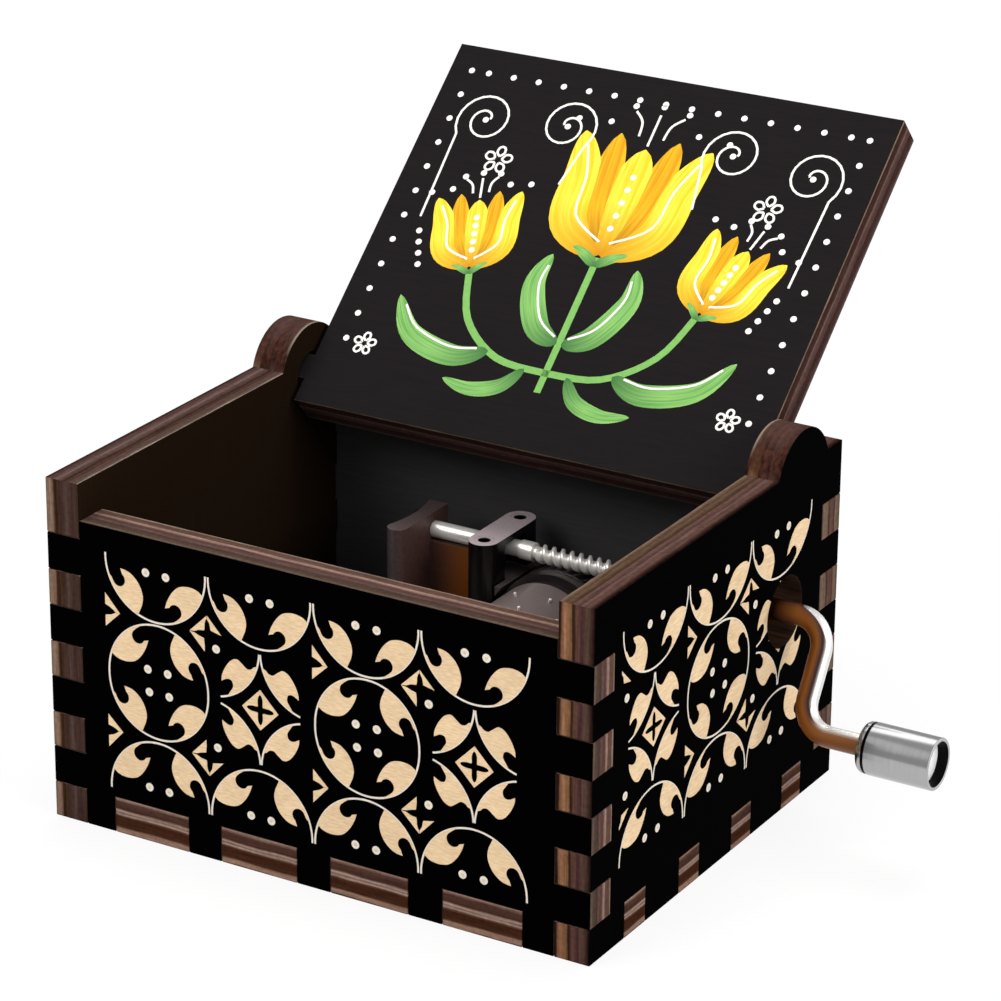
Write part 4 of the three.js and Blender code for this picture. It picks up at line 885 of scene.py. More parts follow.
@dataclass(frozen=True)
class Plane:
    """A flat face of the box: its origin, and the ways right and up as seen from outside."""

    origin: Vector
    right: Vector
    up: Vector

    def matrix(self) -> Matrix:
        """Returns the matrix that takes a drawing in X and Y to this face, in metres."""
        out = self.right.cross(self.up)
        turn = Matrix((self.right, self.up, out)).transposed().to_4x4()
        return Matrix.Translation(self.origin) @ turn


@dataclass(frozen=True)
class Coat:
    """A printed or painted layer: how deep it is keyed in and how high its top stands."""

    key: float
    top: float


def flat_shapes(name: str, outlines: Iterable[Sequence[Point]], coat: Coat, plane: Plane, finish: Finish) -> Piece:
    """Makes thin closed plates from outlines drawn in millimetres.

    Args:
        name: the piece's name.
        outlines: closed outlines without their first point repeated.
        coat: the plates' depth and height in millimetres.
        plane: the face that they lie on.
        finish: their finish.

    Returns:
        The object, in the scene.
    """
    built = bmesh.new()
    place = plane.matrix()
    for outline in outlines:
        twice = sum(a[0] * b[1] - b[0] * a[1] for a, b in zip(outline, [*outline[1:], outline[0]]))
        points = list(outline) if twice > 0 else list(reversed(outline))
        low = [built.verts.new(place @ (Vector((x, y, -coat.key)) * MM)) for x, y in points]
        high = [built.verts.new(place @ (Vector((x, y, coat.top)) * MM)) for x, y in points]
        built.faces.new(list(reversed(low)))
        built.faces.new(high)
        for i, _ in enumerate(points):
            j = (i + 1) % len(points)
            built.faces.new([low[i], low[j], high[j], high[i]])
    return from_bmesh(name, built, (finish,))


def new_tree(name: str, sockets: dict[str, str]) -> Tree:
    """Starts a Geometry Nodes tree with a geometry input and output and named inputs.

    Args:
        name: the tree's name.
        sockets: each input's name and socket type.

    Returns:
        The tree.
    """
    tree = bpy.data.node_groups.new(name, "GeometryNodeTree")
    tree.interface.new_socket("Geometry", in_out="OUTPUT", socket_type="NodeSocketGeometry")
    for title, kind in {"Geometry": "NodeSocketGeometry", **sockets}.items():
        tree.interface.new_socket(title, in_out="INPUT", socket_type=kind)
    return tree


def grow(piece: Piece, tree: Tree, values: dict[str, object]) -> Piece:
    """Runs a tree on a piece and keeps the result as its plain mesh.

    Args:
        piece: the object that the tree starts from.
        tree: the tree.
        values: the tree's inputs by name.

    Returns:
        The piece.
    """
    modifier = piece.modifiers.new(tree.name, "NODES")
    modifier.node_group = tree
    names = {s.name: s.identifier for s in tree.interface.items_tree if s.in_out == "INPUT"}
    for title, value in values.items():
        modifier[names[title]] = value
    return settle(piece)


def end_tree(tree: Tree, shape: Socket, finish: Socket) -> None:
    """Ends a tree with real instances and their material.

    Args:
        tree: the tree.
        shape: its last shape.
        finish: its input for the material.
    """
    whole = add_node(tree, "GeometryNodeRealizeInstances", {0: shape})
    dressed = add_node(tree, "GeometryNodeSetMaterial", {"Geometry": whole.outputs[0], "Material": finish})
    add_node(tree, "NodeGroupOutput", {0: dressed.outputs[0]})


def ribbon_tree() -> Tree:
    """Lays a flat ribbon along the edges of a drawing.

    Returns:
        The tree.
    """
    sockets = {"Width": "NodeSocketFloat", "Height": "NodeSocketFloat", "Finish": "NodeSocketMaterial"}
    tree = new_tree("printed_lines", sockets)
    given = add_node(tree, "NodeGroupInput")
    line = add_node(tree, "GeometryNodeMeshToCurve", {0: given.outputs["Geometry"]})
    upright = add_node(tree, "GeometryNodeSetCurveNormal", {0: line.outputs[0]}, mode="Z_UP")
    sides = {"Width": given.outputs["Width"], "Height": given.outputs["Height"]}
    section = add_node(tree, "GeometryNodeCurvePrimitiveQuadrilateral", sides, mode="RECTANGLE")
    inputs = {"Curve": upright.outputs[0], "Profile Curve": section.outputs[0], "Fill Caps": True}
    ribbon = add_node(tree, "GeometryNodeCurveToMesh", inputs)
    end_tree(tree, ribbon.outputs[0], given.outputs["Finish"])
    return tree


def dot_tree() -> Tree:
    """Puts a round dot on each point of a drawing.

    Returns:
        The tree.
    """
    sockets = {"Radius": "NodeSocketFloat", "Height": "NodeSocketFloat", "Finish": "NodeSocketMaterial"}
    tree = new_tree("printed_dots", sockets)
    given = add_node(tree, "NodeGroupInput")
    sizes = {"Vertices": 20, "Radius": given.outputs["Radius"], "Depth": given.outputs["Height"]}
    dot = add_node(tree, "GeometryNodeMeshCylinder", sizes)
    spread = {"Points": given.outputs["Geometry"], "Instance": dot.outputs[0]}
    dots = add_node(tree, "GeometryNodeInstanceOnPoints", spread)
    end_tree(tree, dots.outputs[0], given.outputs["Finish"])
    return tree


def copies_tree() -> Tree:
    """Puts a pattern piece, scaled, on each point of a mesh.

    Returns:
        The tree.
    """
    sockets = {"Pattern": "NodeSocketObject", "Size": "NodeSocketFloat", "Finish": "NodeSocketMaterial"}
    tree = new_tree("repeated_pieces", sockets)
    given = add_node(tree, "NodeGroupInput")
    pattern = add_node(tree, "GeometryNodeObjectInfo", {"Object": given.outputs["Pattern"]})
    here, size = given.outputs["Geometry"], given.outputs["Size"]
    spread = {"Points": here, "Instance": pattern.outputs["Geometry"], "Scale": size}
    copies = add_node(tree, "GeometryNodeInstanceOnPoints", spread)
    end_tree(tree, copies.outputs[0], given.outputs["Finish"])
    return tree


def pin_tree() -> Tree:
    """Sets pins round a drum, each a fixed share of a turn past the last.

    Returns:
        The tree.
    """
    sockets = {
        "Pins": "NodeSocketInt",
        "Pins per track": "NodeSocketInt",
        "First turn": "NodeSocketFloat",
        "Turn per pin": "NodeSocketFloat",
        "First track": "NodeSocketFloat",
        "Track pitch": "NodeSocketFloat",
        "Pattern": "NodeSocketObject",
        "Finish": "NodeSocketMaterial",
    }
    tree = new_tree("drum_pins", sockets)
    given = add_node(tree, "NodeGroupInput")
    number = add_node(tree, "GeometryNodeInputIndex").outputs[0]
    track = add_node(tree, "ShaderNodeMath", {0: number, 1: given.outputs["Pins per track"]}, operation="DIVIDE")
    whole = add_node(tree, "ShaderNodeMath", {0: track.outputs[0]}, operation="FLOOR")
    inputs = {0: whole.outputs[0], 1: given.outputs["Track pitch"], 2: given.outputs["First track"]}
    along = add_node(tree, "ShaderNodeMath", inputs, operation="MULTIPLY_ADD")
    inputs = {0: number, 1: given.outputs["Turn per pin"], 2: given.outputs["First turn"]}
    turns = add_node(tree, "ShaderNodeMath", inputs, operation="MULTIPLY_ADD")
    angle = add_node(tree, "ShaderNodeMath", {0: turns.outputs[0], 1: math.tau}, operation="MULTIPLY")
    place = add_node(tree, "ShaderNodeCombineXYZ", {"Y": along.outputs[0]})
    turn = add_node(tree, "ShaderNodeCombineXYZ", {"Y": angle.outputs[0]})
    points = add_node(tree, "GeometryNodePoints", {0: given.outputs["Pins"], 1: place.outputs[0]})
    pattern = add_node(tree, "GeometryNodeObjectInfo", {"Object": given.outputs["Pattern"]})
    spread = {"Points": points.outputs[0], "Instance": pattern.outputs["Geometry"], "Rotation": turn.outputs[0]}
    pins = add_node(tree, "GeometryNodeInstanceOnPoints", spread)
    end_tree(tree, pins.outputs[0], given.outputs["Finish"])
    return tree


@dataclass
class Drawing:
    """Lines, dots and filled shapes on one face, in millimetres."""

    name: str
    plane: Plane
    ribbons: Tree
    dots: Tree

    def lay_lines(
        self, name: str, lines: Sequence[Sequence[Point]], width: float, coat: Coat, ink: Finish
    ) -> Piece:
        """Lays ribbons along lines.

        Args:
            name: the piece's name after the drawing's own.
            lines: open lines of points.
            width: the ribbons' width.
            coat: their depth and height.
            ink: their finish.

        Returns:
            The ribbons as one object, in place.
        """
        mesh = bpy.data.meshes.new(f"{self.name}_{name}")
        points = [(x * MM, y * MM, 0.0) for line in lines for x, y in line]
        edges, start = [], 0
        for line in lines:
            edges += [(start + i, start + i + 1) for i in range(len(line) - 1)]
            start += len(line)
        mesh.from_pydata(points, edges, [])
        piece = move_to_scene(mesh.name, mesh)
        thickness = (coat.key + coat.top) * MM
        grow(piece, self.ribbons, {"Width": width * MM, "Height": thickness, "Finish": ink.material()})
        return self.place(piece, coat)

    def lay_dots(self, name: str, places: Sequence[Point], radius: float, coat: Coat, ink: Finish) -> Piece:
        """Puts dots at places.

        Args:
            name: the piece's name after the drawing's own.
            places: the dots' middles.
            radius: their radius.
            coat: their depth and height.
            ink: their finish.

        Returns:
            The dots as one object, in place.
        """
        mesh = bpy.data.meshes.new(f"{self.name}_{name}")
        mesh.from_pydata([(x * MM, y * MM, 0.0) for x, y in places], [], [])
        piece = move_to_scene(mesh.name, mesh)
        thickness = (coat.key + coat.top) * MM
        grow(piece, self.dots, {"Radius": radius * MM, "Height": thickness, "Finish": ink.material()})
        return self.place(piece, coat)

    def place(self, piece: Piece, coat: Coat) -> Piece:
        """Moves a flat piece's mesh from the drawing to its face.

        Args:
            piece: the piece.
            coat: its depth and height.

        Returns:
            The same piece.
        """
        lift = Matrix.Translation((0, 0, (coat.top - coat.key) / 2 * MM))
        piece.data.transform(self.plane.matrix() @ lift)
        shade(piece.data, 30)
        return piece


@dataclass
class ScrollOrnament:
    """The scroll ornament: rows of cups, circles and stars with leaves, dots and small diamonds.

    Shares are of the cups' radius. Sizes are in millimetres.
    """

    radius: float = 6.2
    pitch: float = 12.5
    rows: tuple[float, float] = (12.86, -13.0)
    narrowing: float = 0.982  # of the cups across, which keeps two cups' ends apart
    halves: float = 0.022  # half the gap between a circle's two halves
    circle_shift: float = 0.12
    line: float = 0.205
    dot: float = 0.46
    eye: float = 0.18
    gap_rise_share: float = 1.1
    ink: Coat = Coat(0.02, 0.022)
    spot: Coat = Coat(0.02, 0.026)
    bare: Coat = Coat(0.02, 0.03)
    wood: Finish = BareWood("bare_basswood")
    pale: Finish = Ink("pale_ink", "#d9cfc2")
    shade: Finish = Ink("tan_ink", "#c9bd9c")

    def left_leaf(self) -> list[Point]:
        """Draws the leaf on a cup's left side, with a round bite under its tip.

        Returns:
            Its outline.
        """
        rim = [*arc((0, 0), 1.0, 249, 198, 10), (-0.885, -0.37)]
        bite = arc((-0.735, -0.39), 0.125, 200, 415, 11)
        crest = [(-0.7, -0.19), (-0.6, -0.2), (-0.49, -0.24), (-0.363, -0.347), (-0.282, -0.49), (-0.255, -0.63)]
        return [*rim, *bite, *flowing([*crest, (-0.28, -0.76)])]

    def right_leaf(self) -> list[Point]:
        """Draws the leaf on a cup's right side, which hangs from the rim with its tip inward.

        Returns:
            Its outline.
        """
        rim = arc((0, 0), 1.0, -72, -19, 10)
        crest = [(0.86, -0.262), (0.76, -0.232), (0.62, -0.228), (0.46, -0.275), (0.33, -0.4), (0.235, -0.56)]
        bite = arc((0.39, -0.726), 0.128, 155, -35, 10)
        return [*rim, *flowing([*crest, (0.186, -0.7)]), *bite, (0.43, -0.86)]

    def star_leaf(self) -> list[Point]:
        """Draws the leaf in a star's upper left quarter.

        Returns:
            Its outline.
        """
        side = arc((-1.01, 1.03), 1.0, -68, -16, 10)
        crest = [(-0.115, 0.73), (-0.17, 0.68), (-0.25, 0.67), (-0.34, 0.735), (-0.44, 0.795), (-0.56, 0.745)]
        back = flowing([*crest, (-0.67, 0.6), (-0.735, 0.45), (-0.745, 0.35)])
        bite = flowing([(-0.66, 0.4), (-0.6, 0.412), (-0.54, 0.385), (-0.52, 0.29), (-0.58, 0.19)])
        return [*side, *back, *bite]

    def star_diamond(self) -> list[Point]:
        """Draws the upper left quarter of a star's middle diamond, with a round-ended cross.

        Returns:
            Its outline.
        """
        across = flowing([(-0.262, 0.001), (-0.238, 0.028), (-0.166, 0.048), (-0.06, 0.05)], 3)
        up = flowing([(-0.047, 0.06), (-0.05, 0.166), (-0.028, 0.244), (-0.001, 0.268)], 3)
        return [(-0.001, 0.359), (-0.351, 0.001), *across, *up]

    def draw(self, drawing: Drawing, columns: Sequence[Column], middle: Point, squeeze: Point) -> list[Piece]:
        """Draws the ornament on one face.

        Args:
            drawing: the face's drawing.
            columns: the columns from left to right.
            middle: the ornament's middle on the face.
            squeeze: its scale along and up the face.

        Returns:
            The shapes, the lines and the dots.
        """
        shapes, lines, dots = [], [], []
        radius = self.radius

        def put(target: list, points: Iterable[Point], at: Point, mirror: Point = (1, 1)) -> None:
            """Adds a motif to a list.

            Args:
                target: the list.
                points: the motif.
                at: its place in the ornament.
                mirror: -1 along an axis that turns it over.
            """
            sized = placed(points, at, (radius * mirror[0], radius * mirror[1]))
            target.append(placed(sized, middle, squeeze))

        def leaves(at: Point, way: int, dot_drop: float) -> None:
            """Adds the leaves and the dots of a cup.

            Args:
                at: the cup's middle.
                way: -1 for an arch and 1 otherwise.
                dot_drop: how far the dots hang under the middle.
            """
            put(shapes, self.left_leaf(), at, (way * self.narrowing, way))
            put(shapes, self.right_leaf(), at, (way * self.narrowing, way))
            put(dots, [(-0.187, -dot_drop), (0.208, -dot_drop)], at, (way, way))

        cross = [(-0.055, 0.09), (-0.052, 0.18), (-0.032, 0.25), (-0.01, 0.272)]
        foot = [(-0.056, -0.2), (-0.06, -0.31)]
        small = {
            Column.CIRCLE: [
                (-1.0, [(0, 0.29), (0, 0.085), (0.09, 0.052), (0.165, 0.008), (0.2, -0.025), (0.29, -0.03)]),
                (-1.0, [(0.29, -0.03), (0.2, -0.035), (0.12, -0.078), (0, -0.11), (0, -0.305)]),
                (1.0, [(-0.01, 0.33), (-0.345, 0.0), (-0.255, 0.006), (-0.17, 0.045), (-0.065, 0.06), *cross]),
                (1.0, [(-0.345, -0.012), (-0.255, -0.02), (-0.17, -0.052), (-0.07, -0.078), *foot]),
            ],
            Column.STAR: [(-1.0, [(0.0, 0.33), (0.27, 0.04), (0.065, 0.085), (0.045, 0.2), (0.0, 0.27)])],
        }
        for i, column in enumerate(columns):
            across = (i - (len(columns) - 1) / 2) * self.pitch
            for rise, way in zip(self.rows, (1, -1)):
                put(lines, arc((0, 0), 1.0, 178, 362, 40), (across, rise), (way * self.narrowing, way))
                leaves((across, rise), way, 0.155)
            for rise in (1, -1):
                gap = self.gap_rise_share * radius * rise
                for side, triangle in small[column]:
                    put(shapes, triangle, (across + side * self.pitch / 2, gap), (1, rise))
                if column is Column.STAR:
                    put(dots, [(0.165, -0.22)], (across - self.pitch / 2, gap), (1, rise))
            if column is Column.CIRCLE:
                middle_x = across + self.circle_shift
                upper, lower = arc((0, self.halves), 1.0, 0, 180, 40), arc((0, -self.halves), 1.0, 180, 360, 40)
                put(lines, [*upper, *lower, upper[0]], (middle_x, 0), (self.narrowing, 1))
                leaves((middle_x, -self.halves * radius), 1, 0.18)
                leaves((middle_x, self.halves * radius), -1, 0.18)
                continue
            for mirror in ((1, 1), (-1, 1), (1, -1), (-1, -1)):
                put(lines, arc((-1.01, 1.03), 1.0, -3, -76, 20), (across, 0), mirror)
                put(shapes, self.star_leaf(), (across, 0), mirror)
                put(shapes, self.star_diamond(), (across, 0), mirror)
        spots = [p for pair in dots for p in pair]
        return [
            flat_shapes(f"{drawing.name}_leaves", shapes, self.bare, drawing.plane, self.wood),
            drawing.lay_lines("lines", lines, self.line, self.ink, self.pale),
            drawing.lay_dots("dots", spots, self.dot, self.spot, self.pale),
            drawing.lay_dots("dot_eyes", spots, self.eye, self.bare, self.shade),
        ]


@dataclass
class Case:
    """The five fixed panels and the ornament on the four upright ones."""

    rounding: float = 0.09
    skin: float = 0.03  # how far the printed ornament stands proud of the print round it
    front_middle: Point = (0.05, 18.25)
    side_middle: Point = (-0.5, 21.0)
    side_squeeze: Point = (1.068, 0.96)
    hole_margin: float = 0.12
    burnt_reach: float = 0.3  # past the hole's wall
    ear_foot: float = 38.2

    def build(self, ornament: ScrollOrnament, ribbons: Tree, dots: Tree) -> None:
        """Builds the panels and their ornament.

        Args:
            ornament: the ornament to draw.
            ribbons: the tree that lays lines.
            dots: the tree that puts dots.
        """
        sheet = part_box("bottom_panel")[1].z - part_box("bottom_panel")[0].z
        half = math.pi / 2
        x, y, z = Vector((1, 0, 0)), Vector((0, 1, 0)), Vector((0, 0, 1))
        front = (Column.CIRCLE, Column.STAR, Column.CIRCLE, Column.STAR)
        side = (Column.STAR, Column.CIRCLE, Column.STAR)
        faces = {
            "front": (x, -y, (-half, 0, 0), "#20160e", front, self.front_middle, (1.0, 1.0)),
            "back": (-x, y, (half, 0, 0), "#3e3c3c", front, self.side_middle, (1.0, self.side_squeeze[1])),
            "left": (-y, -x, (0, half, 0), "#20160e", side, self.side_middle, self.side_squeeze),
            "right": (y, x, (0, -half, 0), "#20160e", side, self.side_middle, self.side_squeeze),
        }
        tops = {"left": Plies.LEFT_TOP, "right": Plies.RIGHT_TOP}
        for name, (right, out, turn, inner, columns, middle, squeeze) in faces.items():
            low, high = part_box(f"{name}_panel")
            reach = max(low.dot(out), high.dot(out))
            finish = PrintedPlywood(
                f"printed_plywood_{name}",
                turn,
                (reach - sheet) / MM,
                sheet / MM,
                Plies[name.upper()],
                inner=inner,
                top=tops.get(name),
                charred_above=self.ear_foot if out.x else None,
            )
            panel = merged_copy(f"{name}_panel", f"{name}_panel_sheet", finish, self.rounding)
            self.sink_face(panel, out, reach)
            if name == "right":
                self.burn_hole(panel)
            hand_over(panel, Body.CASE, Slot.PLYWOOD, f"{name}_panel")
            plane = Plane(out * (reach - self.skin * MM), right, z)
            drawing = Drawing(f"{name}_ornament", plane, ribbons, dots)
            for piece in ornament.draw(drawing, columns, middle, squeeze):
                if name == "right":
                    self.cut_hole(piece)
                hand_over(piece, Body.CASE, Slot.PLYWOOD)
        down = (math.pi, 0, 0)
        floor = PrintedPlywood("printed_plywood_bottom", down, -sheet / MM, sheet / MM, Plies.BOTTOM, outer="#0b0908")
        bottom = merged_copy("bottom_panel", "bottom_panel_sheet", floor, self.rounding)
        hand_over(bottom, Body.CASE, Slot.PLYWOOD, "bottom_panel")

    def sink_face(self, panel: Piece, out: Vector, reach: float) -> None:
        """Lowers a panel's outer face by the ornament's height, so that the whole keeps its size.

        Args:
            panel: the panel.
            out: the way that its outer face looks.
            reach: how far out that face lies, in metres.
        """
        for vertex in panel.data.vertices:
            if vertex.co.dot(out) > reach - WELD:
                vertex.co -= out * self.skin * MM

    def crank_hole(self) -> tuple[Vector, float]:
        """Measures the crank's hole in the right panel.

        Returns:
            A point of the crank's axis in metres, and the hole's radius in millimetres.
        """
        axis = Vector(joint("crank_spin")["pos_m"])
        corners = frame["nodes"]["right_panel"].data.vertices
        return axis, min(Vector((0, v.co.y - axis.y, v.co.z - axis.z)).length for v in corners) / MM

    def burn_hole(self, panel: Piece) -> None:
        """Gives the wall of the crank's hole its burnt finish.

        Args:
            panel: the right panel.
        """
        axis, radius = self.crank_hole()
        panel.data.materials.append(BURNT_BORE.material())
        for face in panel.data.polygons:
            away = Vector((0, face.center.y - axis.y, face.center.z - axis.z))
            if away.length < (radius + self.burnt_reach) * MM and abs(face.normal.x) < 0.5:
                face.material_index = 1

    def cut_hole(self, piece: Piece) -> None:
        """Cuts the crank's hole out of the right side's ornament.

        Args:
            piece: a piece of the ornament.
        """
        axis, radius = self.crank_hole()
        radius += self.hole_margin
        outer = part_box("right_panel")[1].x / MM
        profile = [(0, outer - 1), (radius, outer - 1), (radius, outer + 1), (0, outer + 1)]
        place = axis_frame("X", Vector((0, axis.y, axis.z)))
        cut_away(piece, lathe("hole_cutter", profile, place, 64, PAINTED_RECESS_SHADE), crossing=True)


@dataclass
class Lid:
    """The lid and the flower design painted on its inner face, drawn from its pivots upward."""

    rounding: float = 0.09
    line: float = 0.26
    stem: float = 0.8
    dot: float = 0.36
    stroke_faces: int = 6  # across a stroke
    swell_powers: Point = (0.62, 0.75)  # how fast a stroke widens from its foot and narrows to its tip
    swell_peak: float = 0.4
    least_swell: float = 0.03
    relief: float = 0.02  # how much higher the paint stands along a stroke's middle
    ink: Coat = Coat(0.02, 0.014)
    low_paint: Coat = Coat(0.02, 0.018)
    mid_paint: Coat = Coat(0.02, 0.024)
    high_ink: Coat = Coat(0.02, 0.052)
    high_spot: Coat = Coat(0.02, 0.056)
    white: Finish = Ink("white_ink", "#f2efe8")
    yellow: Finish = Paint("yellow_gouache", "#fbe04a", "#eec21e", "#c98a10")
    amber: Finish = Paint("amber_gouache", "#e9b21c", "#cf8f14", "#9c6410")
    green: Finish = Paint("green_gouache", "#8cc06a", "#5f9a4c", "#3d6e3a")

    def build(self, ribbons: Tree, dots: Tree) -> None:
        """Builds the lid and paints it.

        Args:
            ribbons: the tree that lays lines.
            dots: the tree that puts dots.
        """
        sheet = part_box("bottom_panel")[1].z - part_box("bottom_panel")[0].z
        pivot = Vector(joint("lid_hinge")["pos_m"])
        opening = math.radians(joint("lid_hinge")["range_deg"][1])
        back = Matrix.Rotation(-opening, 3, "X")
        inward = back @ Vector((0, 0, -1))
        finish = PrintedPlywood(
            "printed_plywood_lid",
            (opening, 0, 0),
            ((Matrix.Rotation(opening, 3, "X") @ pivot).z - sheet / 2) / MM,
            sheet / MM,
            Plies.LID,
            outer="#050404",
            inner="#1f1c1d",
        )
        lid = merged_copy("lid_panel", "lid_panel_sheet", finish, self.rounding)
        hand_over(lid, Body.LID, Slot.LID, "lid_panel")
        plane = Plane(pivot + inward * sheet / 2, Vector((1, 0, 0)), back @ Vector((0, -1, 0)))
        drawing = Drawing("lid_design", plane, ribbons, dots)
        for piece in self.paint(drawing):
            hand_over(piece, Body.LID, Slot.LID)

    def strokes(
        self, name: str, drawing: Drawing, paths: Sequence[tuple[Sequence[Point], float]], coat: Coat, paint: Finish
    ) -> Piece:
        """Paints broad strokes that swell and come to a point, each mapped along its length.

        Args:
            name: the piece's name after the drawing's own.
            drawing: the face's drawing.
            paths: each stroke's few points and its greatest width.
            coat: the paint's depth and height.
            paint: its finish.

        Returns:
            The strokes as one object.
        """
        built = bmesh.new()
        place = drawing.plane.matrix()
        chart = built.loops.layers.uv.new("stroke")
        widen, narrow = self.swell_powers
        for points, width in paths:
            line = flowing(points, 7)
            grid = []
            for i, (x, y) in enumerate(line):
                t = i / (len(line) - 1)
                before, after = line[max(i - 1, 0)], line[min(i + 1, len(line) - 1)]
                way = Vector((after[0] - before[0], after[1] - before[1])).normalized()
                swell = max(t**widen * (1 - t) ** narrow / self.swell_peak, self.least_swell) * width / 2
                row = []
                for j in range(self.stroke_faces + 1):
                    s = 2 * j / self.stroke_faces - 1
                    at = (x - way.y * s * swell, y + way.x * s * swell)
                    rise = coat.top + self.relief * (1 - s * s) * min(1.0, 4 * t, 4 * (1 - t))
                    high = built.verts.new(place @ (Vector((*at, rise)) * MM))
                    low = built.verts.new(place @ (Vector((*at, -coat.key)) * MM))
                    row.append((low, high, (0.5 - s / 2 * min(1.0, swell * 2 / width), t)))
                grid.append(row)
            self.skin(built, grid, chart)
        return from_bmesh(f"{drawing.name}_{name}", built, (paint,), 40)

    def skin(self, built: bmesh.types.BMesh, grid: list, chart: bmesh.types.BMLayerItem) -> None:
        """Closes one stroke and writes its map.

        Args:
            built: the mesh that it goes into.
            grid: rows across the stroke, each of low and high corners with their place on the map.
            chart: the map.
        """
        shared = {corner: map_at for row in grid for low, high, map_at in row for corner in (low, high)}
        faces = []
        for near, far in zip(grid, grid[1:]):
            for j in range(len(near) - 1):
                faces.append([near[j][1], far[j][1], far[j + 1][1], near[j + 1][1]])
                faces.append([near[j][0], near[j + 1][0], far[j + 1][0], far[j][0]])
            faces.append([near[0][0], far[0][0], far[0][1], near[0][1]])
            faces.append([near[-1][1], far[-1][1], far[-1][0], near[-1][0]])
        for row, ahead in ((grid[0], False), (grid[-1], True)):
            for a, b in zip(row, row[1:]):
                corners = [a[0], a[1], b[1], b[0]]
                faces.append(list(reversed(corners)) if ahead else corners)
        made = [built.faces.new(list(reversed(corners))) for corners in faces]
        for face in made:
            for loop in face.loops:
                loop[chart].uv = shared[loop.vert]

    def tulip(self, at: Point, size: float, lean: float) -> dict[str, list]:
        """Draws one tulip.

        Args:
            at: the foot of its cup.
            size: its height.
            lean: its lean in degrees, to the left if positive.

        Returns:
            Its strokes, lines and dots by name.
        """

        def put(points: Sequence[Point]) -> list[Point]:
            """Places the tulip's own points."""
            return placed(points, at, (size, size), lean)

        far, near, calyx, lines, dots = [], [], [], [], []
        for side in (-1, 1):
            far.append((put([(0, 0), (side * 0.17, 0.4), (side * 0.24, 1.0)]), 0.3 * size))
            near.append((put([(0, 0.0), (side * 0.33, 0.22), (side * 0.4, 0.62), (side * 0.52, 0.97)]), 0.34 * size))
            calyx.append((put([(0, -0.1), (side * 0.12, 0.0), (side * 0.27, 0.05)]), 0.1 * size))
            gleam = [(side * 0.04, 0.1), (side * 0.31, 0.28), (side * 0.36, 0.6), (side * 0.46, 0.86)]
            lines.append(put(flowing(gleam)))
            lines.append(put(flowing([(side * 0.1, 1.0), (side * 0.12, 1.12), (side * 0.2, 1.2)])))
            dots += put([(side * 0.22, 1.24), (side * 0.36, 1.08), (side * 0.62, 1.06)])
        near.append((put([(0, 0.0), (0, 0.45), (0, 0.9)]), 0.36 * size))
        lines.append(put([(0, 0.93), (0, 1.2)]))
        dots += put([(0, 1.27), *[(0, 0.22 + 0.11 * i) for i in range(5)]])
        return {"far": far, "near": near, "calyx": calyx, "lines": lines, "dots": dots}

    def paint(self, drawing: Drawing) -> list[Piece]:
        """Paints a bush of tulips with curled tendrils and dotted borders.

        Args:
            drawing: the lid's drawing, in millimetres from the pivots.

        Returns:
            The painted pieces.
        """
        heads = [((0.0, 20.0), 15.0, 0.0), ((-14.2, 15.6), 9.4, 16.0), ((14.2, 15.6), 9.4, -16.0)]
        flowers = [self.tulip(*head) for head in heads]
        names = ("far", "near", "calyx", "lines", "dots")
        far, near, leaves, lines, dots = ([s for f in flowers for s in f[name]] for name in names)
        stems = [[(0, 2.6), (0, 12), (0, 19.6)]]
        for side in (-1, 1):
            stems.append(flowing([(0, 5.0), (side * 6.4, 5.6), (side * 11.6, 9.4), (side * 14.0, 15.2)]))
            leaves += [
                ([(side * 0.3, 8.6), (side * 3.4, 10.2), (side * 5.8, 15.0), (side * 5.2, 19.0)], 3.0),
                ([(side * 7.6, 6.2), (side * 11.6, 4.8), (side * 17.4, 6.4), (side * 20.6, 10.6)], 2.8),
                ([(side * 2.6, 5.0), (side * 4.6, 2.4), (side * 8.0, 1.4), (side * 11.4, 2.0)], 1.9),
            ]
            lines.append(flowing([(side * 0.8, 9.4), (side * 3.4, 11.2), (side * 5.2, 15.0), (side * 5.1, 17.6)]))
            lines.append(flowing([(side * 9.0, 6.2), (side * 12.4, 5.8), (side * 17.0, 7.2), (side * 19.4, 9.6)]))
            for foot, curl, turn in (((22.6, 20.4), (20.2, 33.6), 1.0), ((8.2, 27.4), (10.2, 34.6), -1.0)):
                lines.append(self.tendril((side * foot[0], foot[1]), (side * curl[0], curl[1]), 3.1, side * turn))
            dots += [(side * (20.3 + 0.55 * i), 14.6 + 1.35 * i) for i in range(4)]
            dots += [(side * x, 39.4) for x in (3.2, 6.4, 9.6, 12.8, 16.0, 19.2, 22.4)]
            dots += [(side * 24.6, y) for y in (39.4, 36.2, 33.0, 29.8, 26.6, 23.4, 20.2, 17.0, 13.8, 10.6, 7.4, 4.2)]
            dots += [(side * 20.2, 33.6), (side * 10.2, 34.6)]
            lines += [self.petals((side * 16.6, 29.0), 1.5, k) for k in range(5)]
            lines += [self.petals((side * 22.2, 4.0), 1.2, k) for k in range(5)]
        dots.append((0.0, 39.4))
        return [
            drawing.lay_lines("stems", stems, self.stem, self.ink, Ink("green_ink", "#7cb45e")),
            self.strokes("leaves", drawing, leaves, self.low_paint, self.green),
            self.strokes("far_petals", drawing, far, self.low_paint, self.amber),
            self.strokes("near_petals", drawing, near, self.mid_paint, self.yellow),
            drawing.lay_lines("lines", lines, self.line, self.high_ink, self.white),
            drawing.lay_dots("dots", dots, self.dot, self.high_spot, self.white),
        ]

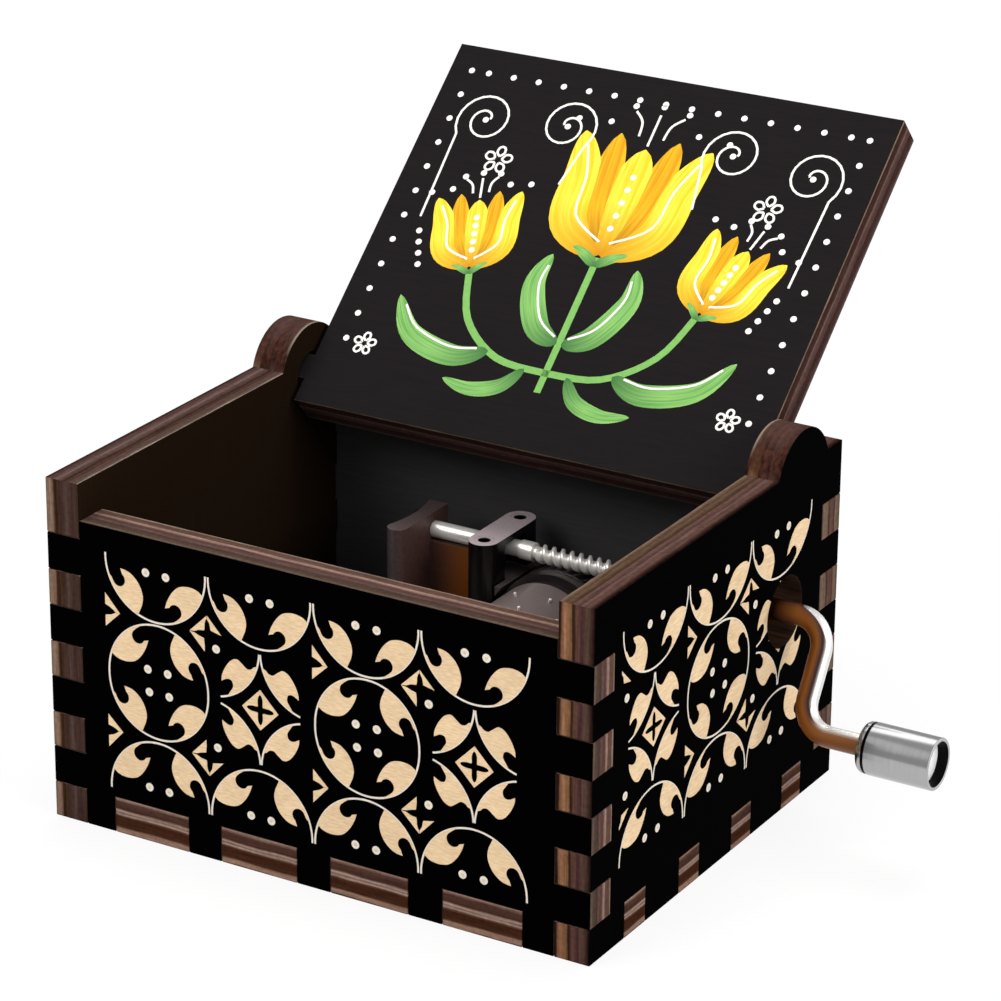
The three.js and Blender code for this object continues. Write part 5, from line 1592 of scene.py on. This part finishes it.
    def tendril(self, foot: Point, eye: Point, radius: float, turn: float) -> list[Point]:
        """Returns a line from a foot into a closing curl.

        Args:
            foot: where the line starts.
            eye: the curl's middle.
            radius: the curl's first radius.
            turn: 1 to curl one way and -1 the other.

        Returns:
            The line's points.
        """
        start = math.degrees(math.atan2(foot[1] - eye[1], foot[0] - eye[0])) + 40 * turn
        whole, steps = 560, 34
        curl = []
        for i in range(steps + 1):
            share = i / steps
            reach = radius * (1 - share) ** 0.8 + 0.5
            angle = math.radians(start + turn * whole * share)
            curl.append((eye[0] + reach * math.cos(angle), eye[1] + reach * math.sin(angle)))
        halfway = ((foot[0] + curl[0][0]) / 2, (foot[1] + curl[0][1]) / 2)
        return [*flowing([foot, halfway, curl[0]])[:-1], *curl]

    def petals(self, eye: Point, radius: float, k: int) -> list[Point]:
        """Returns one round petal of a small line-drawn blossom; k numbers it from 0 to 4."""
        loop = [(0.3, 0), (0.62, 0.3), (1.0, 0.24), (1.12, 0), (1.0, -0.24), (0.62, -0.3), (0.3, 0)]
        return placed(flowing(loop, 3), eye, (radius, radius), 90 + 72 * k)


@dataclass
class Movement:
    """The cast frame and what is screwed to it."""

    casting_round: float = 0.14
    bridge_round: float = 0.11
    comb_round: float = 0.05
    comb_head: float = 1.2
    bearing_head: float = 0.6
    slot_width_share: float = 0.24
    slot_depth_share: float = 0.45
    dome_foot_share: float = 0.62
    seat_gap: float = 0.08
    flush_depth: float = 0.9  # of a head that is flush with the bridge
    flush_gap: float = 0.015
    socket_radius: float = 0.66
    socket_depth: float = 0.7
    socket_edge: float = 0.06
    socket_floor: float = 0.1  # least thickness

    def screw_pattern(self, height_share: float) -> Piece:
        """Makes a domed screw head of radius 1 mm with a slot across it.

        Args:
            height_share: the head's height over its radius.

        Returns:
            The head, with its seat at the origin.
        """
        high, foot = height_share, self.dome_foot_share
        dome = [(x, high * (foot + (1 - foot) * y)) for x, y in arc((0, 0), 1.0, 0, 90, 8)[:-1]]
        profile = [(0, 0), (0.97, 0), (1.0, 0.04), *dome, (0, high)]
        head = lathe("screw_pattern", profile, Matrix.Identity(4), 32, SCREW_STEEL)
        width, depth = self.slot_width_share, high * self.slot_depth_share
        outline = [(-1.2, -width / 2), (1.2, -width / 2), (1.2, width / 2), (-1.2, width / 2)]
        x, y = Vector((1, 0, 0)), Vector((0, 1, 0))
        deep = Coat(depth - high, high + 1)
        cut_away(head, flat_shapes("slot_cutter", [outline], deep, Plane(Vector(), x, y), SCREW_STEEL))
        return head

    def screws(self, name: str, nodes: Sequence[str], height: float, copies: Tree) -> None:
        """Puts heads where the frame has screws.

        Args:
            name: the group's name.
            nodes: the frame's screws, which the group stands for.
            height: the heads' height in millimetres.
            copies: the tree that repeats the head.
        """
        boxes = [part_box(node) for node in nodes]
        radius = (boxes[0][1].x - boxes[0][0].x) / 2
        pattern = self.screw_pattern(height * MM / radius)
        mesh = bpy.data.meshes.new(name)
        mesh.from_pydata([((a.x + b.x) / 2, (a.y + b.y) / 2, b.z - height * MM) for a, b in boxes], [], [])
        piece = move_to_scene(name, mesh)
        grow(piece, copies, {"Pattern": pattern, "Size": radius / MM, "Finish": SCREW_STEEL.material()})
        shade(piece.data, 35)
        bpy.data.objects.remove(pattern)
        hand_over(piece, Body.CASE, Slot.STEEL, *nodes)

    def socket_screw(self, node: str) -> Piece:
        """Turns a head that fills its seat flush with the bridge, with a small socket painted dark as painted shade.

        Args:
            node: the frame's screw that it stands for.

        Returns:
            The head, in the scene.
        """
        low, high = (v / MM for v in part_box(node))
        top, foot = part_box("shaft_bridge")[1].z / MM - self.flush_gap, high.z - self.flush_depth
        radius, socket, edge = (high.x - low.x) / 2 + self.seat_gap, self.socket_radius, self.socket_edge
        floor = max(top - self.socket_depth, foot + self.socket_floor)
        well = [(socket + edge, top), (socket, top - edge), (socket, floor), (0, floor)]
        profile = [(0, foot), (radius, foot), (radius, top), *well]
        place = Vector(((low.x + high.x) / 2, (low.y + high.y) / 2, 0)) * MM
        head = lathe(f"{node}_head", profile, Matrix.Translation(place), 48, ENAMEL)
        # painted shade: the socket's faces get a near-black colour
        head.data.materials.append(PAINTED_RECESS_SHADE.material())
        for face in head.data.polygons:
            away = Vector((face.center.x - place.x, face.center.y - place.y)).length
            if away < socket * 1.02 * MM and face.center.z > (foot + self.socket_floor / 2) * MM:
                face.material_index = 1
        return head

    def build(self, copies: Tree) -> None:
        """Builds the frame, the bridge, the comb, the bearing plate and the screws.

        Args:
            copies: the tree that repeats a screw's head.
        """
        for node, name, finish, rounding, slot in (
            ("movement_frame", "movement_casting", FRAME_METAL, self.casting_round, Slot.CAST),
            ("shaft_bridge", "bridge_bracket", ENAMEL, self.bridge_round, Slot.ENAMEL),
            ("front_bearing_plate", "bearing_bracket", STEEL, self.comb_round, Slot.STEEL),
            ("comb", "tuned_comb", STEEL, self.comb_round, Slot.STEEL),
        ):
            hand_over(merged_copy(node, name, finish, rounding), Body.CASE, slot, node)
        for node in ("bridge_screw_1", "bridge_screw_2"):
            hand_over(self.socket_screw(node), Body.CASE, Slot.ENAMEL, node)
        self.screws("comb_screws", ("comb_screw_1", "comb_screw_2"), self.comb_head, copies)
        self.screws("bearing_screws", ("bearing_screw",), self.bearing_head, copies)
        for i in (1, 2, 3):
            dress_node(f"frame_screw_{i}", SCREW_STEEL)


@dataclass
class Drum:
    """The pinned drum with its cap, its wheel and its arbor."""

    sides: int = 112
    radius: float = 6.35
    wall: float = 0.95
    pin_radius: float = 0.17
    pin_height: float = 0.4
    pin_root: float = 0.4
    pins_per_track: int = 3
    tracks: int = 18
    track_pitch: float = 1.03
    last_track_back: float = 3.1  # from the drum's rear end
    first_turn_share: float = 0.3
    turn_share: float = 0.6180339887  # spreads the pins round the drum without a repeat
    edge: float = 0.12
    tooth_edge: float = 0.05

    def build(self) -> None:
        """Builds the drum group."""
        axis = Vector(joint("drum_spin")["pos_m"])
        front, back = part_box("drum_end_cap")[0].y / MM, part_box("pin_drum")[1].y / MM
        radius, edge, bore = self.radius, self.edge, self.radius - self.wall
        outside = [(radius - edge, front), (radius, front + edge), (radius, back - edge), (radius - edge, back)]
        profile = [(bore, front), *outside, (bore, back), (bore, front)]
        centre = Vector((axis.x, 0, axis.z))
        tube = lathe("drum_tube", profile, axis_frame("Y", centre), self.sides, DRUM_METAL)
        hand_over(tube, Body.DRUM, Slot.STEEL, "pin_drum")
        self.pins(centre, radius, back)
        cap = merged_copy("drum_end_cap", "drum_cap", WHEEL_METAL, self.edge, 20)
        hand_over(cap, Body.DRUM, Slot.CAST, "drum_end_cap")
        wheel = merged_copy("worm_wheel", "toothed_wheel", WHEEL_METAL, self.tooth_edge, 24)
        hand_over(wheel, Body.DRUM, Slot.CAST, "worm_wheel")
        dress_node("drum_arbor", STEEL)

    def pins(self, centre: Vector, radius: float, back: float) -> None:
        """Sets the pins, each a short wire with a rounded tip.

        Args:
            centre: a point of the drum's axis.
            radius: the drum's radius in millimetres.
            back: where the drum ends, in millimetres along Y.
        """
        r, tip = self.pin_radius, radius + self.pin_height
        root = radius - self.pin_root
        profile = [(0, root), (r, root), (r, tip - r / 2), (r * 0.6, tip - r * 0.1), (0, tip)]
        pattern = lathe("pin_pattern", profile, Matrix.Identity(4), 10, PIN_STEEL)
        piece = move_to_scene("drum_pins", bpy.data.meshes.new("drum_pins"))
        first = back - self.last_track_back - (self.tracks - 1) * self.track_pitch
        grow(
            piece,
            pin_tree(),
            {
                "Pins": self.tracks * self.pins_per_track,
                "Pins per track": self.pins_per_track,
                "First turn": self.first_turn_share,
                "Turn per pin": self.turn_share,
                "First track": first * MM,
                "Track pitch": self.track_pitch * MM,
                "Pattern": pattern,
                "Finish": PIN_STEEL.material(),
            },
        )
        piece.data.transform(Matrix.Translation(centre))
        shade(piece.data, 35)
        bpy.data.objects.remove(pattern)
        hand_over(piece, Body.DRUM, Slot.STEEL)


@dataclass
class Crank:
    """The crank's wire with its rolled worm, and the knob on its end."""

    sides: int = 48
    journal: float = 0.8
    shaft: float = 0.92
    worm: float = 1.05
    wire: float = 1.15
    clip_groove: float = 0.68
    clip_gap: float = 0.05
    upright: float = 1.7
    shoulder_gap: float = 2.45
    groove: float = 0.7
    groove_width: float = 0.5
    ease: float = 0.07
    worm_left: float = 3.4375  # from the drum's axis to the worm's left end
    worm_right: float = 7.5625
    thread_depth: float = 0.5
    thread_pitch: float = 1.1
    starts: int = 2
    crest_share: float = 0.12
    foot_share: float = 0.36
    bend: float = 3.4
    bend_steps: int = 20
    rivet_lip: float = 0.4
    rivet_height: float = 0.6
    rivet_step: float = 0.02
    rows_per_pitch: int = 14
    knob_nose: float = 0.45
    knob_step: float = 0.05  # how much smaller the knob is at its inner end
    knob_lip: float = 0.88
    lip_groove: float = 0.18
    knob_rim: float = 0.14
    knob_gap: float = 0.1  # from the wire and from the washer
    bore_wall: float = 0.38
    bore_edge: float = 0.04
    plug_depth: float = 1.2
    plug_thickness: float = 0.25
    plug_edge: float = 0.06
    plug_crown: float = 0.03

    def build(self) -> None:
        """Builds the wire and the knob and dresses the clip and the washer."""
        joints = {j["name"]: Vector(j["pos_m"]) / MM for j in frame["joints"]}
        shaft, knob, drum = joints["crank_spin"], joints["knob_spin"], joints["drum_spin"]
        hand_over(self.wire_piece(shaft, knob, drum), Body.CRANK, Slot.WIRE, "crank_shaft")
        hand_over(self.knob_piece(knob), Body.KNOB, Slot.KNOB, "crank_knob")
        hand_over(self.knob_plug(knob), Body.KNOB, Slot.KNOB)
        dress_node("shaft_clip", CLIP_STEEL)
        dress_node("knob_washer", SCREW_STEEL)

    def thread(self, turn: float, x: float, drum_x: float) -> float:
        """Shapes the worm.

        Args:
            turn: a share of a turn round the shaft.
            x: a place along X.
            drum_x: the drum's axis along X.

        Returns:
            The worm's radius there.
        """
        phase = self.starts * turn - (x - drum_x) / self.thread_pitch
        from_crest = abs(phase - math.floor(phase) - 0.5)
        rise = (self.foot_share - from_crest) / (self.foot_share - self.crest_share)
        rise = min(max(rise, 0.0), 1.0)
        return self.worm - (1 - rise * rise * (3 - 2 * rise)) * self.thread_depth

    def straight(self, drum_x: float) -> list[Point]:
        """Lists the rings of the shaft's plain part, with eased steps.

        Args:
            drum_x: the drum's axis along X.

        Returns:
            Places along X and radii.
        """
        clip_low, clip_high = (v.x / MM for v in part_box("shaft_clip"))
        bridge = sum(v.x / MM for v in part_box("shaft_bridge")) / 2
        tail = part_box("crank_shaft")[0].x / MM
        upright = clip_high + self.clip_gap
        worm = drum_x - self.worm_left
        steps = [
            (clip_low - self.clip_gap, self.journal),
            (upright, self.clip_groove),
            (upright + self.upright + self.clip_gap, self.journal),
            (bridge + self.shoulder_gap, self.shaft),
            (worm - self.groove_width, self.worm),
            (worm, self.groove),
        ]
        rings = [(tail, 0.0), (tail, self.journal - self.ease), (tail + self.ease, self.journal)]
        for (x, radius), (_, after) in zip(steps, [*steps[1:], (0, self.groove)]):
            rings += [(x - self.ease / 2, radius), (x + self.ease / 2, after)]
        return rings

    def wire_piece(self, shaft: Vector, knob: Vector, drum: Vector) -> Piece:
        """Builds the wire from its tail through the worm and both bends to its riveted end.

        Args:
            shaft: a point of the shaft's axis.
            knob: a point of the knob's axis.
            drum: a point of the drum's axis.

        Returns:
            The wire, in the scene.
        """
        built, ahead = bmesh.new(), Vector((1, 0, 0))
        rings = [(Vector((x, shaft.y, shaft.z)), ahead, r, False) for x, r in self.straight(drum.x)]
        start, end = drum.x - self.worm_left, drum.x + self.worm_right
        rows = round((end - start) / self.thread_pitch * self.rows_per_pitch)
        for i in range(1, rows + 1):
            rings.append((Vector((start + (end - start) * i / rows, shaft.y, shaft.z)), ahead, 0.0, True))
        rings += [(p, t, self.wire, False) for p, t in self.route(end + self.ease, shaft, knob)]
        tip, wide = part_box("crank_shaft")[1].x / MM, self.wire + self.rivet_lip
        for x, radius in (
            (tip - self.rivet_height - self.rivet_step, self.wire),
            (tip - self.rivet_height, wide),
            (tip - self.rivet_height / 2, wide),
            (tip - self.rivet_height / 5, self.wire),
            (tip, self.wire / 3),
            (tip, 0.0),
        ):
            rings.append((Vector((x, knob.y, knob.z)), ahead, radius, False))
        side = ahead.cross((knob - shaft).cross(ahead)).normalized()
        across = ahead.cross(side)
        before: list[bmesh.types.BMVert] = []
        for centre, way, radius, threaded in rings:
            if radius == 0.0 and not threaded:
                ring = [built.verts.new(centre * MM)]
            else:
                ring = []
                other = way.cross(across)
                for k in range(self.sides):
                    angle = 2 * math.pi * k / self.sides
                    out = across * math.cos(angle) + other * math.sin(angle)
                    reach = radius
                    if threaded:
                        reach = self.thread(math.atan2(out.y, -out.z) / math.tau, centre.x, drum.x)
                    ring.append(built.verts.new((centre + out * reach) * MM))
            if before:
                join_rings(built, before, ring, self.sides)
            before = ring
        bmesh.ops.recalc_face_normals(built, faces=built.faces)
        return from_bmesh("crank_wire", built, (WIRE_METAL,), 50)

    def route(self, start: float, shaft: Vector, knob: Vector) -> list[tuple[Vector, Vector]]:
        """Returns the places and directions of the wire from the worm to the knob.

        Args:
            start: where the route starts along X.
            shaft: a point of the shaft's axis.
            knob: the knob's inner end on its axis.

        Returns:
            Places and directions, close together in the bends.
        """
        way = Vector((1, 0, 0))
        down = Vector((0, knob.y - shaft.y, knob.z - shaft.z)).normalized()
        arm = self.arm_x()
        corners = [Vector((arm, shaft.y, shaft.z)), Vector((arm, knob.y, knob.z))]
        places = [(Vector((start, shaft.y, shaft.z)), way)]
        for corner, into, out in ((corners[0], way, down), (corners[1], down, way)):
            centre = corner - into * self.bend + out * self.bend
            for i in range(self.bend_steps + 1):
                angle = math.pi / 2 * i / self.bend_steps
                spoke = into * math.sin(angle) - out * math.cos(angle)
                places.append((centre + spoke * self.bend, into * math.cos(angle) + out * math.sin(angle)))
        return places

    def arm_x(self) -> float:
        """Finds the crank's arm by the wire's farthest reach before the knob.

        Returns:
            The arm's middle along X.
        """
        clear = joint("knob_spin")["pos_m"][2] + 3 * self.wire * MM
        corners = frame["nodes"]["crank_shaft"].data.vertices
        return max(v.co.x for v in corners if v.co.z > clear) / MM - self.wire

    def knob_piece(self, knob: Vector) -> Piece:
        """Turns the knob: a sleeve with a lip and a groove, open at its outer end, with painted shade in its bore and
        groove.

        Args:
            knob: a point of the knob's axis.

        Returns:
            The knob, in the scene.
        """
        low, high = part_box("crank_knob")
        start, end, radius = low.x / MM, high.x / MM, (high.z - low.z) / 2 / MM
        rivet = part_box("knob_washer")[0].x / MM - self.knob_gap
        lip, groove, wall, hole = self.knob_lip, self.lip_groove, self.bore_wall, self.wire + self.knob_gap
        narrow = radius - self.knob_step
        profile = [
            (hole, start),
            *arc((narrow - self.knob_nose, start + self.knob_nose), self.knob_nose, -90, 0, 6),
            (narrow, start + lip - groove),
            (radius - groove, start + lip - groove / 2),
            (radius - groove, start + lip + groove / 2),
            (radius, start + lip + groove),
            *arc((radius - self.knob_rim, end - self.knob_rim), self.knob_rim, 0, 90, 4),
            (radius - wall + self.bore_edge, end),
            (radius - wall, end - self.bore_edge),
            (radius - wall, rivet),
            (hole, rivet),
            (hole, start),
        ]
        piece = lathe("crank_knob_sleeve", profile, axis_frame("X", Vector((0, knob.y, knob.z)) * MM), 96, KNOB_METAL)
        # painted shade: the bore and the groove get a near-black colour
        piece.data.materials.append(PAINTED_RECESS_SHADE.material())
        for face in piece.data.polygons:
            out = Vector((0, face.center.y - knob.y * MM, face.center.z - knob.z * MM))
            along = face.center.x / MM
            in_bore = out.length < (radius - wall + 0.01) * MM and along > start + 1
            in_groove = abs(along - start - lip) < groove * 0.8 and out.length < (radius - 0.03) * MM
            if in_bore or in_groove:
                face.material_index = 1
        return piece

    def knob_plug(self, knob: Vector) -> Piece:
        """Turns the plug that closes the knob's bore over the rivet, white and nearly matt as a painted highlight.

        Args:
            knob: a point of the knob's axis.

        Returns:
            The plug, in the scene.
        """
        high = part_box("crank_knob")[1] / MM
        radius, face = high.z - knob.z - self.bore_wall, high.x - self.plug_depth
        back, edge, crown = face - self.plug_thickness, self.plug_edge, face + self.plug_crown
        dome = [(radius, face - edge), (radius - edge, face), (radius * 0.5, crown), (0, crown)]
        profile = [(0, back), (radius, back), *dome]
        return lathe("crank_knob_plug", profile, axis_frame("X", Vector((0, knob.y, knob.z)) * MM), 64, PAINTED_HIGHLIGHT_PLUG)


@dataclass(frozen=True)
class LightPanel:
    """A soft panel in the surround that only gloss shows: where it is, its strength and half width."""

    aim: Triple
    strength: float
    degrees: float


@dataclass(frozen=True)
class SoftLamp:
    """A soft square lamp that looks at the box, with its place and its side in metres."""

    name: str
    place: Triple
    size: float
    watts: float
    gloss: bool = False  # whether only gloss shows it; otherwise gloss doesn't


@dataclass
class Studio:
    """The camera at the photograph's angle, a pale floor and soft light."""

    azimuth: float = 30.53
    elevation: float = 22.07
    roll: float = 0.49
    distance: float = 440.2
    target: Triple = (6.17, 0.0, 34.59)
    focal_pixels: float = 4311.8
    sensor: float = 36.0
    sky: float = 0.62
    panels: tuple[LightPanel, ...] = (
        LightPanel((-0.47, 0.46, 0.75), 2.2, 23),
        LightPanel((0.9, 0.42, 0.1), 1.3, 58),
        LightPanel((-0.47, -0.55, 0.66), 0.42, 26),
    )
    lamps: tuple[SoftLamp, ...] = (
        SoftLamp("key", (-0.28, -0.5, 0.5), 0.34, 2.0),
        SoftLamp("side", (0.55, -0.1, 0.34), 0.3, 1.6),
        SoftLamp("top", (0.0, 0.12, 0.62), 0.36, 1.9),
        SoftLamp("glint", (-0.051, -0.041, 0.1), 0.06, 0.024, gloss=True),
    )
    horizon_glow: float = 0.5
    zenith_glow: float = 0.56
    floor_show_share: float = 0.85
    floor_reach: float = 4.0  # in metres
    floor_drop: float = 0.02

    def build(self) -> None:
        """Sets up the view, the world, the lamps and the floor."""
        bpy.context.scene.view_settings.view_transform = "Standard"
        self.camera()
        self.world()
        for lamp in self.lamps:
            self.hang(lamp)
        self.floor()

    def camera(self) -> None:
        """Makes the camera from the view that was fitted to the photograph."""
        data = bpy.data.cameras.new("camera")
        data.sensor_width = self.sensor
        data.lens = self.focal_pixels / IMAGE_SIDE * self.sensor
        data.clip_start, data.clip_end = 0.01, 10
        camera = move_to_scene("camera", data)
        a, e = math.radians(self.azimuth), math.radians(self.elevation)
        back = Vector((math.sin(a) * math.cos(e), -math.cos(a) * math.cos(e), math.sin(e)))
        camera.location = (Vector(self.target) + back * self.distance) * MM
        turn = (-back).to_track_quat("-Z", "Y").to_matrix().to_4x4()
        roll = Matrix.Rotation(math.radians(self.roll), 4, "Z")
        camera.matrix_world = Matrix.Translation(camera.location) @ turn @ roll
        bpy.context.scene.camera = camera

    def world(self) -> None:
        """Makes a white surround for the camera, an even one for light, and panels of light for gloss."""
        world = bpy.data.worlds.new("studio")
        bpy.context.scene.world = world
        world.use_nodes = True
        tree = world.node_tree
        tree.nodes.clear()
        path = add_node(tree, "ShaderNodeLightPath")
        way = add_node(tree, "ShaderNodeTexCoord").outputs["Generated"]
        height = add_node(tree, "ShaderNodeSeparateXYZ", {0: way}).outputs[2]
        ends = {"From Min": 0.02, "From Max": 0.85, "To Min": self.horizon_glow, "To Max": self.zenith_glow}
        glow = add_node(tree, "ShaderNodeMapRange", {"Value": height, **ends}).outputs[0]
        for panel in self.panels:
            inputs = {0: way, 1: Vector(panel.aim).normalized()}
            near = add_node(tree, "ShaderNodeVectorMath", inputs, operation="DOT_PRODUCT").outputs["Value"]
            outer, inner = math.cos(math.radians(panel.degrees)), math.cos(math.radians(panel.degrees * 0.7))
            edge = {"Value": near, "From Min": outer, "From Max": inner, "To Max": panel.strength}
            lit = add_node(tree, "ShaderNodeMapRange", edge).outputs[0]
            glow = add_node(tree, "ShaderNodeMath", {0: glow, 1: lit}, operation="ADD").outputs[0]
        seen = add_node(tree, "ShaderNodeMix", {0: path.outputs["Is Glossy Ray"], 2: self.sky, 3: glow})
        strength = add_node(tree, "ShaderNodeMix", {0: path.outputs["Is Camera Ray"], 2: seen.outputs[0], 3: 1.0})
        sky = add_node(tree, "ShaderNodeBackground", {"Color": linear("#ffffff"), "Strength": strength.outputs[0]})
        add_node(tree, "ShaderNodeOutputWorld", {"Surface": sky.outputs[0]})

    def hang(self, lamp: SoftLamp) -> None:
        """Hangs a lamp.

        Args:
            lamp: the lamp.
        """
        data = bpy.data.lights.new(lamp.name, "AREA")
        data.size, data.energy = lamp.size, lamp.watts
        hung = move_to_scene(lamp.name, data)
        hung.visible_glossy, hung.visible_diffuse, hung.visible_camera = lamp.gloss, not lamp.gloss, False
        aim = Vector((0, 0, 0.02)) - Vector(lamp.place)
        hung.matrix_world = Matrix.Translation(lamp.place) @ aim.to_track_quat("-Z", "Y").to_matrix().to_4x4()

    def floor(self) -> None:
        """Lays a pale floor that shows white and keeps a faint shadow."""
        material = bpy.data.materials.new("pale_floor")
        material.use_nodes = True
        tree = material.node_tree
        tree.nodes.clear()
        path = add_node(tree, "ShaderNodeLightPath").outputs
        either = path["Is Camera Ray"]
        for ray in ("Is Glossy Ray", "Is Transmission Ray"):
            either = add_node(tree, "ShaderNodeMath", {0: either, 1: path[ray]}, operation="MAXIMUM").outputs[0]
        share = add_node(tree, "ShaderNodeMath", {0: either, 1: self.floor_show_share}, operation="MULTIPLY")
        matt = add_node(tree, "ShaderNodeBsdfDiffuse", {"Color": linear("#f4f4f4")})
        white = add_node(tree, "ShaderNodeEmission", {"Color": linear("#ffffff"), "Strength": 1.0})
        mixed = add_node(tree, "ShaderNodeMixShader", {0: share.outputs[0], 1: matt.outputs[0], 2: white.outputs[0]})
        add_node(tree, "ShaderNodeOutputMaterial", {"Surface": mixed.outputs[0]})
        built = bmesh.new()
        bmesh.ops.create_grid(built, x_segments=8, y_segments=8, size=self.floor_reach)
        mesh = bpy.data.meshes.new("floor")
        built.to_mesh(mesh)
        built.free()
        mesh.transform(Matrix.Translation((0, 0, -self.floor_drop * MM)))
        mesh.materials.append(material)
        move_to_scene("floor", mesh)


def main() -> None:
    """Builds the studio and every sub-assembly in order."""
    logging.basicConfig(level=logging.INFO, format="%(name)s: %(message)s")
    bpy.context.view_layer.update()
    ribbons, dots, copies = ribbon_tree(), dot_tree(), copies_tree()
    Studio().build()
    Case().build(ScrollOrnament(), ribbons, dots)
    Lid().build(ribbons, dots)
    Movement().build(copies)
    Drum().build()
    Crank().build()


if __name__ == "__main__":
    main()
